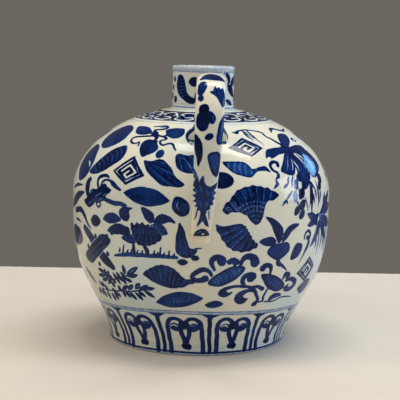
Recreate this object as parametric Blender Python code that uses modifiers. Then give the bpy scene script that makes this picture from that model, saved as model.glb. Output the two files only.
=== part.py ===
"""Porcelain ewer with a loop handle and a curved spout, thrown in sections and luted together.

Metres, +Z up. The origin is the centre of the foot ring's underside. The handle reaches along -Y,
the spout along +Y. Every piece stands 0.3 mm clear of the next, where the real joint is fused slip.
"""

import math

import bmesh
import bpy
from mathutils import Matrix, Vector

# Clearance left in every luted joint, the short run behind a swept piece's cap,
# and the facets round a turned piece
JOINT_GAP = 0.0003
END_RUN = 0.0005
TURN_STEPS = 56
# Facets lie inside the true curve, so what clears the body stands this many gaps off it
COLLAR_STAND_OFF = 1.5
CUTTER_STAND_OFF = 1.6

# Body: the widest line, the shoulder over it and the foot under it
BELLY_RADIUS = 0.1193
BELLY_HEIGHT = 0.137
SHOULDER_RISE = 0.0795
FOOT_RADIUS = 0.082
WAIST_LEAN = 1.75
SEAM_HEIGHT = 0.096
WALL = 0.006

# Foot ring and the recessed base that rests on it
FOOT_HEIGHT = 0.010
FOOT_WIDTH = 0.0125
FOOT_BEVEL = 0.0015
BASE_THICKNESS = 0.007

# Neck and mouth
NECK_RADIUS = 0.0284
NECK_BORE = 0.0240
NECK_LENGTH = 0.0335
RIM_HEIGHT = 0.005
RIM_SWELL = 0.0006
RIM_ROUNDING = 0.45
COLLAR_WIDTH = 0.0034
COLLAR_HEIGHT = 0.0024
COLLAR_FOOT = 0.0007

# Handle: a strap, wide across X, whose section tapers from crest to tail. It leans to +X at its crest
HANDLE_REACH = 0.160
HANDLE_CREST = 0.2495
HANDLE_ROOT_HEIGHT = 0.193
HANDLE_TAIL_HEIGHT = 0.110
HANDLE_WIDTH = 0.0235
HANDLE_TAIL_WIDTH = 0.0154
HANDLE_FLATNESS = 0.46
HANDLE_LEAN = 0.0063
HANDLE_LEAN_BOW = 1.5
HANDLE_ROOT_WIDTH = 0.035
HANDLE_ROOT_LENGTH = 0.015
HANDLE_TAIL_LENGTH = 0.018
# The strap's bends, as shares of the way out and of the way up: from its root over the crest to its
# furthest reach, and back down to its tail. It keeps its full width over the first part of its length
HANDLE_RISING = [(0.00, 0.10), (0.06, 0.47), (0.25, 0.85), (0.50, 1.00)]
HANDLE_RISING += [(0.79, 0.88), (0.95, 0.54), (1.00, 0.06)]
HANDLE_FALLING = [(0.96, 0.43), (0.76, 0.25), (0.40, 0.095)]
HANDLE_FULL_SHARE = 0.5
# How deep the handle's centre line starts inside the body's face, and how far it slants there
ROOT_DEPTH = 0.010
ROOT_SLANT = 0.35

# Spout: a tapered tube in an S-curve, its tip a little under the mouth
SPOUT_REACH = HANDLE_REACH
SPOUT_ROOT_HEIGHT = 0.136
SPOUT_TIP_HEIGHT = 0.240
SPOUT_ROOT_RADIUS = 0.0165
SPOUT_TIP_RADIUS = 0.0085
SPOUT_WALL = 0.0032
SPOUT_LIP_LENGTH = 0.006
SPOUT_LIP_SWELL = 0.0012
SPOUT_COLLAR_SWELL = 0.0045
SPOUT_COLLAR_LENGTH = 0.010
SPOUT_TAPER = 1.6
COLLAR_EDGE = 0.0012
LIP_EDGE = 0.5
SPOUT_BENDS = [(0.0, 0.0), (0.46, 0.17), (0.66, 0.42), (0.72, 0.70), (1.0, 1.0)]
# How deep its centre line starts inside the body's face, and where on that run its tube and the cutter
# that clears it begin
SPOUT_DEPTH = 0.022
SPOUT_START = 0.4
SPOUT_CLEAR_START = 0.2

# Tops of the stacked turned pieces
SHOULDER_TOP = BELLY_HEIGHT + SHOULDER_RISE * math.sqrt(1 - (NECK_RADIUS / BELLY_RADIUS) ** 2)
NECK_TOP = SHOULDER_TOP + JOINT_GAP + NECK_LENGTH
RIM_BASE = NECK_TOP + JOINT_GAP
FLOOR_UNDERSIDE = FOOT_HEIGHT + JOINT_GAP

WHITE_GLAZE = (0.62, 0.62, 0.57, 1.0)
BLUE_WASH = (0.10, 0.15, 0.34, 1.0)
BARE_BODY = (0.48, 0.38, 0.27, 1.0)


def body_radius(height, inset=0.0):
    """Radius of the body's outer face, or of one inset mm inside it, at a height.

    Over the widest line it is half an ellipse. Under it, the radius falls to the foot in one S.
    """
    widest = BELLY_RADIUS - inset
    if height >= BELLY_HEIGHT:
        share = min((height - BELLY_HEIGHT) / (SHOULDER_RISE - inset), 1.0)
        return widest * math.sqrt(1 - share * share)
    drop = max(0.0, (BELLY_HEIGHT - height) / BELLY_HEIGHT) ** WAIST_LEAN
    return widest - (BELLY_RADIUS - FOOT_RADIUS) * (1 - math.cos(math.pi * drop)) / 2


def shoulder_height(radius, inset=0.0):
    """Height of the shoulder's face at a radius, the inverse of body_radius over the widest line."""
    share = min(radius / (BELLY_RADIUS - inset), 1.0)
    return BELLY_HEIGHT + (SHOULDER_RISE - inset) * math.sqrt(1 - share * share)


def shoulder_points(low, high, steps, inset=0.0):
    """Profile points from high to low, evenly spread by angle on the shoulder's ellipse."""
    rise = SHOULDER_RISE - inset
    first = math.asin(min(1.0, (high - BELLY_HEIGHT) / rise))
    last = math.asin((low - BELLY_HEIGHT) / rise)
    angles = [first + (last - first) * step / steps for step in range(steps + 1)]
    widest = BELLY_RADIUS - inset
    return [(widest * math.cos(angle), BELLY_HEIGHT + rise * math.sin(angle)) for angle in angles]


def waist_points(low, high, steps, inset=0.0):
    """Profile points from high to low, evenly spread in height under the widest line."""
    heights = [high + (low - high) * step / steps for step in range(steps + 1)]
    return [(body_radius(height, inset), height) for height in heights]


def face_points(low, high, steps, inset=0.0):
    """Profile points of the body's face from high to low, on one side of the widest line or both."""
    if low >= BELLY_HEIGHT:
        return shoulder_points(low, high, steps, inset)
    if high <= BELLY_HEIGHT:
        return waist_points(low, high, steps, inset)
    under = max(2, round(steps * (BELLY_HEIGHT - low) / (high - low)))
    upper = shoulder_points(BELLY_HEIGHT, high, max(4, steps - under), inset)
    return upper + waist_points(low, BELLY_HEIGHT, under, inset)[1:]


def smooth_path(stops, count):
    """Points along a smooth curve through the stops (Catmull-Rom), as Vectors in the YZ plane."""
    stops = [Vector((0.0, y, z)) for y, z in stops]
    ends = [2 * stops[0] - stops[1]] + stops + [2 * stops[-1] - stops[-2]]
    spans = len(stops) - 1
    points = []
    for step in range(count + 1):
        place = spans * step / count
        span = min(int(place), spans - 1)
        t = place - span
        a, b, c, d = ends[span : span + 4]
        bend = (2 * a - 5 * b + 4 * c - d) * t * t
        turn = (3 * b - a - 3 * c + d) * t**3
        points.append(0.5 * (2 * b + (c - a) * t + bend + turn))
    return points


def path_lengths(points):
    """Distance along the path from its first point to each point."""
    lengths = [0.0]
    for here, there in zip(points, points[1:]):
        lengths.append(lengths[-1] + (there - here).length)
    return lengths


def point_at(points, lengths, distance):
    """The point at this distance along the path, on the straight line between its neighbours."""
    for index in range(1, len(points)):
        if lengths[index] >= distance:
            span = lengths[index] - lengths[index - 1]
            return points[index - 1].lerp(points[index], (distance - lengths[index - 1]) / span)
    return points[-1].copy()


def stretch_of(points, start, end, count):
    """Evenly spaced distances and points between two distances along the path.

    The first and last steps are split by a short run, so that the end caps stand square to the path.
    """
    lengths = path_lengths(points)
    distances = [start + (end - start) * step / count for step in range(count + 1)]
    distances = [start, start + END_RUN] + distances[1:-1] + [end - END_RUN, end]
    return distances, [point_at(points, lengths, distance) for distance in distances]


def eased(share):
    """0 to 1 with level ends."""
    share = min(max(share, 0.0), 1.0)
    return share * share * (3 - 2 * share)


def glazed(name, colour, roughness):
    """Principled material of one piece: glazed porcelain, or its bare body where rough."""
    material = bpy.data.materials.new(name)
    material.use_nodes = True
    shader = material.node_tree.nodes["Principled BSDF"]
    shader.inputs["Base Color"].default_value = colour
    shader.inputs["Roughness"].default_value = roughness
    shader.inputs["Metallic"].default_value = 0.0
    return material


def place(obj, collection, colour=WHITE_GLAZE, roughness=0.12):
    """Puts a piece in its collection, smooth shaded, with its own material."""
    collection.objects.link(obj)
    obj.data.materials.append(glazed(obj.name + "_glaze", colour, roughness))
    return obj


def hide_cutter(obj, collection):
    """Puts a cutter with the others, out of the render and drawn as wire."""
    collection.objects.link(obj)
    obj.hide_render = True
    obj.display_type = "WIRE"
    return obj


def turned(name, profile):
    """A solid turned about Z from a closed outline of (radius, height), outer side first and downward."""
    mesh = bpy.data.meshes.new(name)
    points = [(radius, 0.0, height) for radius, height in profile]
    edges = [(index, (index + 1) % len(points)) for index in range(len(points))]
    mesh.from_pydata(points, edges, [])
    obj = bpy.data.objects.new(name, mesh)
    screw = obj.modifiers.new("Turn", "SCREW")
    screw.axis = "Z"
    screw.angle = 2 * math.pi
    screw.steps = TURN_STEPS
    screw.render_steps = TURN_STEPS
    screw.use_merge_vertices = True
    screw.merge_threshold = 0.00001
    screw.use_smooth_shade = True
    return obj


def disc_edges(profile):
    """The same outline for a solid that reaches the axis: its first and last points lie on it."""
    return [(0.0, profile[0][1])] + profile + [(0.0, profile[-1][1])]


def turned_disc(name, profile):
    """A turned solid without a bore. The outline is open along the axis, where the turn closes it."""
    obj = turned(name, disc_edges(profile))
    mesh = bpy.data.meshes.new(name + "_outline")
    points = [tuple(vertex.co) for vertex in obj.data.vertices]
    mesh.from_pydata(points, [(index, index + 1) for index in range(len(points) - 1)], [])
    obj.data = mesh
    return obj


def swept(name, points, radii, broadness=1.0):
    """A solid swept along points with a radius at each, widened along X by broadness."""
    curve = bpy.data.curves.new(name, "CURVE")
    curve.dimensions = "3D"
    curve.twist_mode = "MINIMUM"
    curve.bevel_depth = 1.0
    curve.bevel_resolution = 4
    curve.use_fill_caps = True
    spline = curve.splines.new("POLY")
    spline.points.add(len(points) - 1)
    for point, centre, radius in zip(spline.points, points, radii):
        point.co = (*centre, 1.0)
        point.radius = radius
    guide = bpy.data.objects.new(name + "_guide", curve)
    bpy.context.scene.collection.objects.link(guide)
    graph = bpy.context.evaluated_depsgraph_get()
    mesh = bpy.data.meshes.new_from_object(guide.evaluated_get(graph))
    bpy.data.objects.remove(guide)
    shape = bmesh.new()
    shape.from_mesh(mesh)
    bmesh.ops.remove_doubles(shape, verts=shape.verts, dist=0.000001)
    bmesh.ops.recalc_face_normals(shape, faces=shape.faces)
    shape.to_mesh(mesh)
    shape.free()
    mesh.transform(Matrix.Diagonal((broadness, 1.0, 1.0, 1.0)))
    mesh.shade_smooth()
    mesh.set_sharp_from_angle(angle=math.radians(40))
    return bpy.data.objects.new(name, mesh)


def cut(obj, cutter):
    """Takes the cutter's space out of a piece."""
    boolean = obj.modifiers.new("Clear_" + cutter.name, "BOOLEAN")
    boolean.operation = "DIFFERENCE"
    boolean.solver = "EXACT"
    boolean.object = cutter


def mouth_rim():
    """The lip: a band a little prouder than the neck, rounded over its top."""
    middle = (NECK_RADIUS + NECK_BORE) / 2
    half = (NECK_RADIUS - NECK_BORE) / 2 + RIM_SWELL
    top = RIM_BASE + RIM_HEIGHT
    round_rise = min(RIM_HEIGHT * RIM_ROUNDING, half)
    arc = []
    for step in range(7):
        angle = math.pi * step / 6
        arc.append((middle - half * math.cos(angle), top - round_rise * (1 - math.sin(angle))))
    return turned("mouth_rim", arc + [(middle + half, RIM_BASE), (middle - half, RIM_BASE)])


def neck():
    """The straight neck, from the shoulder's top to the lip."""
    foot = SHOULDER_TOP + JOINT_GAP
    outline = [(NECK_RADIUS, NECK_TOP), (NECK_RADIUS, foot), (NECK_BORE, foot), (NECK_BORE, NECK_TOP)]
    return turned("neck", outline)


def neck_collar():
    """The fillet of slip round the neck's foot: hollow face outside, shoulder's curve underneath."""
    inner = NECK_RADIUS + JOINT_GAP
    outer = inner + COLLAR_WIDTH
    clear = JOINT_GAP * COLLAR_STAND_OFF
    low = shoulder_height(outer) + clear
    top = shoulder_height(inner) + clear + COLLAR_HEIGHT
    face = []
    for step in range(5):
        angle = math.pi / 2 * step / 4
        radius = outer - (COLLAR_WIDTH - COLLAR_FOOT) * math.cos(angle)
        height = top - (top - low - COLLAR_FOOT) * math.sin(angle)
        face.append((radius, height))
    underside = []
    for step in range(3):
        radius = outer + (inner - outer) * step / 2
        underside.append((radius, shoulder_height(radius) + clear))
    return turned("neck_collar", [(inner, top)] + face + underside)


def upper_body():
    """The upper section: shoulder and upper belly, open to the neck and at its seam."""
    seam = SEAM_HEIGHT + JOINT_GAP / 2
    outer = face_points(seam, SHOULDER_TOP, 15)
    inner_top = shoulder_height(NECK_BORE, WALL)
    inner = face_points(seam, inner_top, 11, WALL)
    rim = [(NECK_BORE, SHOULDER_TOP)]
    return turned("upper_body", outer + list(reversed(inner)) + rim)


def lower_body():
    """The lower section, from its seam down to the foot ring."""
    seam = SEAM_HEIGHT - JOINT_GAP / 2
    outer = face_points(FLOOR_UNDERSIDE, seam, 10)
    inner = face_points(FLOOR_UNDERSIDE, seam, 8, WALL)
    return turned("lower_body", outer + list(reversed(inner)))


def base_disc():
    """The base: a disc inside the lower wall, resting on the foot ring, recessed from the ground."""
    top = FLOOR_UNDERSIDE + BASE_THICKNESS
    wide = body_radius(FLOOR_UNDERSIDE, WALL) - JOINT_GAP
    return turned_disc("base_disc", [(wide, top), (wide, FLOOR_UNDERSIDE)])


def foot_ring():
    """The foot: a ring with bevelled edges that the pot stands on."""
    top_radius = body_radius(FOOT_HEIGHT)
    inner = FOOT_RADIUS - FOOT_WIDTH
    outline = [
        (top_radius, FOOT_HEIGHT),
        (body_radius(FOOT_HEIGHT / 2), FOOT_HEIGHT / 2),
        (FOOT_RADIUS, FOOT_BEVEL),
        (FOOT_RADIUS - FOOT_BEVEL, 0.0),
        (inner + FOOT_BEVEL, 0.0),
        (inner, FOOT_BEVEL),
        (inner, FOOT_HEIGHT),
    ]
    return turned("foot_ring", outline)


def body_clearance():
    """Cutter: the body's whole outer form grown by the joint gap, for what is luted onto it."""
    points = face_points(0.0, SHOULDER_TOP, 40)
    grown = []
    for index, (radius, height) in enumerate(points):
        before = points[max(index - 1, 0)]
        after = points[min(index + 1, len(points) - 1)]
        along = Vector((after[0] - before[0], after[1] - before[1])).normalized()
        grow = JOINT_GAP * CUTTER_STAND_OFF
        grown.append((radius - along.y * grow, height + along.x * grow))
    return turned_disc("cut_body_clearance", grown)


def handle_path():
    """Centre line of the handle: up from the shoulder, over the crest, down to a tail on the belly.

    Each stop is a share of the way out and of the way up. Its crest is the stop at half the way out.
    """
    half = HANDLE_WIDTH * HANDLE_FLATNESS / 2
    root = body_radius(HANDLE_ROOT_HEIGHT)
    tail = body_radius(HANDLE_TAIL_HEIGHT)
    out = HANDLE_REACH - half
    top = HANDLE_CREST - half
    stops = [(root - ROOT_SLANT * ROOT_DEPTH, HANDLE_ROOT_HEIGHT - ROOT_DEPTH)]
    for across, up in HANDLE_RISING:
        stops.append((root + across * (out - root), HANDLE_ROOT_HEIGHT + up * (top - HANDLE_ROOT_HEIGHT)))
    for across, up in HANDLE_FALLING:
        stops.append((tail + across * (out - tail), HANDLE_TAIL_HEIGHT + up * (top - HANDLE_TAIL_HEIGHT)))
    stops.append((tail, HANDLE_TAIL_HEIGHT))
    stops.append((tail - ROOT_DEPTH, HANDLE_TAIL_HEIGHT - ROOT_DEPTH))
    return smooth_path([(-y, z) for y, z in stops], 96)


def leaned(obj):
    """Shifts the handle's points to +X, more with height: the strap was luted on a little askew."""
    for vertex in obj.data.vertices:
        up = (vertex.co.z - HANDLE_TAIL_HEIGHT) / (HANDLE_CREST - HANDLE_TAIL_HEIGHT)
        vertex.co.x += HANDLE_LEAN * (1 - (1 - min(max(up, 0.0), 1.0)) ** HANDLE_LEAN_BOW)
    return obj


def handle_pieces():
    """Root, strap and tail of the handle, end to end along one centre line."""
    path = handle_path()
    whole = path_lengths(path)[-1]
    root_end = ROOT_DEPTH + HANDLE_ROOT_LENGTH
    tail_end = whole - ROOT_DEPTH * math.sqrt(2)
    tail_start = tail_end - HANDLE_TAIL_LENGTH

    def strap_width(distance):
        """Width of the strap: even over the crest, narrowing evenly down to the tail."""
        full = HANDLE_FULL_SHARE * whole
        share = (distance - full) / (tail_end - full)
        return HANDLE_WIDTH + (HANDLE_TAIL_WIDTH - HANDLE_WIDTH) * min(max(share, 0.0), 1.0)

    def root_width(distance):
        """Width of the root: spread over the shoulder, closing on the strap's."""
        spread = 1 - eased((distance - ROOT_DEPTH) / HANDLE_ROOT_LENGTH)
        return HANDLE_WIDTH + (HANDLE_ROOT_WIDTH - HANDLE_WIDTH) * spread

    def strap(name, width, start, end, count):
        """One stretch of the strap, swept at half its thickness and spread to its width."""
        distances, points = stretch_of(path, start, end, count)
        halves = [width(distance) * HANDLE_FLATNESS / 2 for distance in distances]
        return leaned(swept(name, points, halves, 1 / HANDLE_FLATNESS))

    return (
        strap("handle_root", root_width, 0.0, root_end, 8),
        strap("handle_loop", strap_width, root_end + JOINT_GAP, tail_start, 36),
        strap("handle_tail", strap_width, tail_start + JOINT_GAP, whole, 8),
    )


def spout_path():
    """Centre line of the spout: out of the belly, up in an S, then out to the tip.

    The lip's outermost point reaches as far as the handle does on the other side.
    """
    root = body_radius(SPOUT_ROOT_HEIGHT)
    rise = SPOUT_TIP_HEIGHT - SPOUT_ROOT_HEIGHT
    (near_out, near_up), (far_out, far_up) = SPOUT_BENDS[-2:]
    last_run = (far_out - near_out) * (SPOUT_REACH - SPOUT_TIP_RADIUS - root)
    last_rise = (far_up - near_up) * rise
    uprightness = last_rise / math.hypot(last_run, last_rise)
    tip = SPOUT_REACH - (SPOUT_TIP_RADIUS + SPOUT_LIP_SWELL * LIP_EDGE) * uprightness
    stops = [(root - SPOUT_DEPTH, SPOUT_ROOT_HEIGHT - SPOUT_DEPTH / 2)]
    stops += [(root + out * (tip - root), SPOUT_ROOT_HEIGHT + up * rise) for out, up in SPOUT_BENDS]
    return smooth_path(stops, 60)


def spout_pieces(cutters):
    """Spout, its collar on the body and its lip, with one bore through them and the body's wall."""
    path = spout_path()
    whole = path_lengths(path)[-1]
    inside = SPOUT_DEPTH * math.hypot(1, 0.5)
    collar_end = inside + SPOUT_COLLAR_LENGTH
    lip_start = whole - SPOUT_LIP_LENGTH

    def outer_radius(distance):
        """Outer radius: tapering fast out of the body, slowly to the tip."""
        share = min(max((distance - inside) / (whole - inside), 0.0), 1.0)
        return SPOUT_TIP_RADIUS + (SPOUT_ROOT_RADIUS - SPOUT_TIP_RADIUS) * (1 - share) ** SPOUT_TAPER

    def collar_radius(distance):
        """Outer radius of the collar: spread on the body, closing on the spout's."""
        spread = 1 - eased((distance - inside) / SPOUT_COLLAR_LENGTH)
        return outer_radius(distance) + COLLAR_EDGE + SPOUT_COLLAR_SWELL * spread

    def lip_radius(distance):
        """Outer radius of the lip: swelling over its length, half as much at its ends."""
        share = (distance - lip_start) / SPOUT_LIP_LENGTH
        swell = LIP_EDGE + (1 - LIP_EDGE) * math.sin(math.pi * share)
        return outer_radius(distance) + SPOUT_LIP_SWELL * swell

    def tube(name, radius, start, end, count, centres=path):
        """One stretch of the spout as a solid tube."""
        distances, points = stretch_of(centres, start, end, count)
        return swept(name, points, [radius(distance) for distance in distances])

    spout = tube("spout", outer_radius, SPOUT_START * inside, lip_start - JOINT_GAP, 24)
    collar = tube("spout_root", collar_radius, SPOUT_START * inside, collar_end, 6)
    lip = tube("spout_lip", lip_radius, lip_start, whole, 4)
    beyond = path + [path[-1] + (path[-1] - path[-2]).normalized() * SPOUT_LIP_LENGTH]
    bore = tube("cut_spout_bore", lambda distance: outer_radius(distance) - SPOUT_WALL,
                0.0, whole + SPOUT_LIP_LENGTH, 28, beyond)
    clear = tube("cut_spout_clearance", lambda distance: outer_radius(distance) + JOINT_GAP,
                 SPOUT_CLEAR_START * inside, lip_start, 24)
    hide_cutter(bore, cutters)
    hide_cutter(clear, cutters)
    return spout, collar, lip, bore, clear


def build():
    """Makes every piece, joins what passes through each other and sorts them into collections."""
    for obj in list(bpy.data.objects):
        bpy.data.objects.remove(obj)
    ewer = bpy.data.collections.new("porcelain_ewer")
    cutters = bpy.data.collections.new("cutters")
    bpy.context.scene.collection.children.link(ewer)
    bpy.context.scene.collection.children.link(cutters)

    for piece in (mouth_rim(), neck(), neck_collar(), lower_body()):
        place(piece, ewer)
    place(base_disc(), ewer, BARE_BODY, 0.6)
    place(foot_ring(), ewer, BARE_BODY, 0.6)
    body = place(upper_body(), ewer)
    clearance = hide_cutter(body_clearance(), cutters)

    root, strap, tail = handle_pieces()
    place(root, ewer)
    place(strap, ewer, BLUE_WASH)
    place(tail, ewer)
    cut(root, clearance)
    cut(tail, clearance)

    spout, collar, lip, bore, spout_clear = spout_pieces(cutters)
    for piece in (spout, collar, lip):
        place(piece, ewer)
    cut(spout, clearance)
    cut(collar, clearance)
    cut(collar, spout_clear)
    cut(spout, bore)
    cut(lip, bore)
    cut(body, bore)


build()
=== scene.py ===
# %% [markdown]
# # A blue-and-white porcelain ewer
# The pot is thrown from white clay, painted with cobalt on the dry clay, dipped in clear glaze and fired
# once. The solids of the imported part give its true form. This lesson dresses them: every piece is turned
# or swept again on a fine grid, and the painting is kept on the grid itself as plain numbers.

# %% Load the frame
import math

import bpy
import numpy as np
from mathutils import Matrix, Vector


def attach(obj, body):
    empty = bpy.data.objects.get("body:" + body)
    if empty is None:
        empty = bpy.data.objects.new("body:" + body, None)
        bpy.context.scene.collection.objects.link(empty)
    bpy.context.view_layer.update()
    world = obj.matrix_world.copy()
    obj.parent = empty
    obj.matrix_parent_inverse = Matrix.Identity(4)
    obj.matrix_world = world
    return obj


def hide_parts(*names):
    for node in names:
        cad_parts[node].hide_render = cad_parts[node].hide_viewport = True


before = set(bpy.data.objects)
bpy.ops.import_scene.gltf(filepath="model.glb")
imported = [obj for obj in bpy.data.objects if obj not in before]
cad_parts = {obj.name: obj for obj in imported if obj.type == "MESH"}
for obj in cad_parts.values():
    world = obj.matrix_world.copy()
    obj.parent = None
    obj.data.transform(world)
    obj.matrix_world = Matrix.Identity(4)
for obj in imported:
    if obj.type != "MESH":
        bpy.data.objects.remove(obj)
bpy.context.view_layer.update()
print("frame nodes:", sorted(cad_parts))

# %% [markdown]
# ## Camera
# A long lens looks slightly down from about a metre in front of the handle. The small turn about the
# viewing axis is how the pot leans in the picture.

# %% Camera
CAMERA_LENS = 103.4
CAMERA_PLACE = (-0.00093, -1.0673, 0.2674)
CAMERA_DIP, CAMERA_TURN = 7.438, 1.1

camera_data = bpy.data.cameras.new("camera")
camera_data.lens = CAMERA_LENS
camera = bpy.data.objects.new("camera", camera_data)
camera.matrix_world = (Matrix.Translation(CAMERA_PLACE)
                       @ Matrix.Rotation(math.radians(90 - CAMERA_DIP), 4, "X")
                       @ Matrix.Rotation(math.radians(CAMERA_TURN), 4, "Z"))
bpy.context.scene.collection.objects.link(camera)
bpy.context.scene.camera = camera
bpy.context.scene.view_settings.view_transform = "Standard"
print("camera stands at", tuple(round(v, 3) for v in camera.location))

# %% [markdown]
# ## Helpers for materials
# Colours are picked on screen as sRGB hex values, and Blender mixes light in linear values, so one
# function turns the first into the second. Another adds one node, sets it up and links what comes in, and
# a third blends two colours.

# %% Colour and node helpers


def colour(hex_value):
    """Linear red, green, blue and alpha of an sRGB hex colour."""
    parts = [int(hex_value[i:i + 2], 16) / 255 for i in (1, 3, 5)]
    return tuple(p / 12.92 if p <= 0.04045 else ((p + 0.055) / 1.055) ** 2.4 for p in parts) + (1.0,)


def add(tree, kind, inputs=None, **settings):
    """Adds a node of a kind, sets its settings, and gives each input its value or its link."""
    made = tree.nodes.new(kind)
    for name, value in settings.items():
        setattr(made, name, value)
    for name, value in (inputs or {}).items():
        if isinstance(value, bpy.types.NodeSocket):
            tree.links.new(value, made.inputs[name])
        else:
            made.inputs[name].default_value = value
    return made


def blend(tree, factor, a, b):
    """The blend of two colours, by a factor that goes from 0 to 1."""
    return add(tree, "ShaderNodeMix", {"Factor": factor, "A": a, "B": b}, data_type="RGBA").outputs["Result"]


# %% [markdown]
# ## Floor, backdrop and light
# The pot stands on a table of plain pale cloth in front of a plain grey wall. The wall is the world's
# colour for camera, mirror and see-through rays alone, and an even pale light for all others. Five soft
# lamps do the rest: a long one overhead, a small blue window on the right behind the pot, a tall bluish
# veil on the right, a warm fill on the left and a broad one in front. Fill and front light the glaze
# without being mirrored in it.

# %% Floor and backdrop
CLOTH_COLOURS = colour("#c5bcaf"), colour("#cec6ba")
FLOOR_HALF = 3.5
FLOOR_BACK = 0.317

floor_mesh = bpy.data.meshes.new("floor")
floor_mesh.from_pydata([(-FLOOR_HALF, -FLOOR_HALF, 0), (FLOOR_HALF, -FLOOR_HALF, 0),
                        (FLOOR_HALF, FLOOR_BACK, 0), (-FLOOR_HALF, FLOOR_BACK, 0)], [], [(0, 1, 2, 3)])
floor = bpy.data.objects.new("floor", floor_mesh)
bpy.context.scene.collection.objects.link(floor)
cloth = bpy.data.materials.new("pale_cloth")
cloth.use_nodes = True
cloth_tree = cloth.node_tree
cloth_place = add(cloth_tree, "ShaderNodeTexCoord").outputs["Object"]
cloth_cloud = add(cloth_tree, "ShaderNodeTexNoise", {"Vector": cloth_place, "Scale": 9.0, "Detail": 3.0})
cloth_shader = cloth_tree.nodes["Principled BSDF"]
cloth_tree.links.new(blend(cloth_tree, cloth_cloud.outputs["Fac"], *CLOTH_COLOURS),
                     cloth_shader.inputs["Base Color"])
cloth_shader.inputs["Roughness"].default_value = 0.9
floor_mesh.materials.append(cloth)

# %% World light
WALL_COLOUR = colour("#6b6760")
EVEN_COLOUR, EVEN_STRENGTH = colour("#eef1f4"), 0.46

world = bpy.data.worlds.new("studio")
bpy.context.scene.world = world
world.use_nodes = True
sky = world.node_tree
sky.nodes.clear()
rays = add(sky, "ShaderNodeLightPath").outputs
seen = add(sky, "ShaderNodeMath", {0: rays["Is Camera Ray"], 1: rays["Is Glossy Ray"]}, operation="MAXIMUM")
seen = add(sky, "ShaderNodeMath", {0: seen.outputs[0], 1: rays["Is Transmission Ray"]}, operation="MAXIMUM")
even = add(sky, "ShaderNodeBackground", {"Color": EVEN_COLOUR, "Strength": EVEN_STRENGTH})
wall = add(sky, "ShaderNodeBackground", {"Color": WALL_COLOUR, "Strength": 1.0})
both = add(sky, "ShaderNodeMixShader", {0: seen.outputs[0], 1: even.outputs[0], 2: wall.outputs[0]})
add(sky, "ShaderNodeOutputWorld", {"Surface": both.outputs[0]})

# %% Lamps
AIM = Vector((0, 0, 0.13))


def softbox(name, turn, rise, distance, wide, tall, watts, tint, mirrored=True):
    """A lamp in metres and watts: turn degrees round from the handle, rise degrees up, facing the belly."""
    lamp = bpy.data.lights.new(name, "AREA")
    lamp.shape = "RECTANGLE"
    lamp.size, lamp.size_y = wide, tall
    lamp.energy = watts
    lamp.color = colour(tint)[:3]
    turn, rise = math.radians(turn), math.radians(rise)
    away = Vector((math.cos(rise) * math.sin(turn), -math.cos(rise) * math.cos(turn), math.sin(rise)))
    holder = bpy.data.objects.new(name, lamp)
    holder.matrix_world = Matrix.Translation(AIM + away * distance) \
        @ away.to_track_quat("Z", "Y").to_matrix().to_4x4()
    holder.visible_glossy = mirrored
    bpy.context.scene.collection.objects.link(holder)


softbox("overhead", 90, 82, 1.5, 0.39, 1.20, 18.5, "#fffaf0")
softbox("window", 131, 19, 1.7, 0.46, 0.30, 4.1, "#8accff")
softbox("veil", 84, 14, 1.8, 0.50, 0.95, 13.0, "#cfe0ff")
softbox("fill", -72, 42, 1.9, 0.7, 0.9, 9.4, "#ffecd6", mirrored=False)
softbox("front", 8, 36, 2.4, 1.2, 0.9, 8.4, "#f3f8f2", mirrored=False)

# %% [markdown]
# ## The thrown form
# All sizes here are millimetres, and a mesh is turned to metres when it is made. The body's outline is
# a quarter ellipse for the shoulder and a cosine sweep from the belly down to the foot. Distances up the
# wall are measured along that outline from the foot's edge, because that is how a painter's brush meets it.

# %% Outline of the body
BELLY_RADIUS = 119.3
BELLY_HEIGHT = 137.0
SHOULDER_RISE = 79.5
FOOT_RADIUS = 82.0
WAIST_LEAN = 1.75
WALL = 6.0
NECK_RADIUS = 28.4
NECK_BORE = 24.0
SHOULDER_TOP = 214.2


def body_radius(z, inset=0.0):
    """Radius at a height: an ellipse above the belly line, a cosine sweep from belly to foot below it."""
    z = np.asarray(z, float)
    shoulder = np.sqrt(np.clip(1 - ((z - BELLY_HEIGHT) / (SHOULDER_RISE - inset)) ** 2, 0, 1))
    waist = np.clip((BELLY_HEIGHT - z) / BELLY_HEIGHT, 0, 1) ** WAIST_LEAN
    below = BELLY_RADIUS - inset - (BELLY_RADIUS - FOOT_RADIUS) * (1 - np.cos(np.pi * waist)) / 2
    return np.where(z >= BELLY_HEIGHT, (BELLY_RADIUS - inset) * shoulder, below)


HEIGHTS = np.linspace(0, SHOULDER_TOP, 6000)
RADII = body_radius(HEIGHTS)
LENGTHS = np.concatenate([[0], np.cumsum(np.hypot(np.diff(HEIGHTS), np.diff(RADII)))])


def height_at(length):
    """Height of the place that lies a given length up the outline."""
    return np.interp(length, LENGTHS, HEIGHTS)


def girth_at(length):
    """Radius of the place that lies a given length up the outline."""
    return np.interp(length, LENGTHS, RADII)


def length_at(height):
    """Length up the outline of the place at a height."""
    return float(np.interp(height, HEIGHTS, LENGTHS))


def degrees_round(columns):
    """Degrees to the right of the handle for each column of a ring, from the far side to the far side."""
    return np.arange(columns) * 360 / columns - 180


print(f"outline {LENGTHS[-1]:.1f} mm long from foot to neck, belly line at {length_at(BELLY_HEIGHT):.1f}")

# %% [markdown]
# ## A maker of fine pieces
# Every piece is a grid of rows and columns whose columns run round a ring. Its rows either come back to
# the first one, as on a wall with an outer and an inner skin, or end in a point at both ends. Faces,
# smooth normals, the painted numbers and a flat map for baking all come from whole arrays.

# %% Directions, cells and flat map


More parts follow.
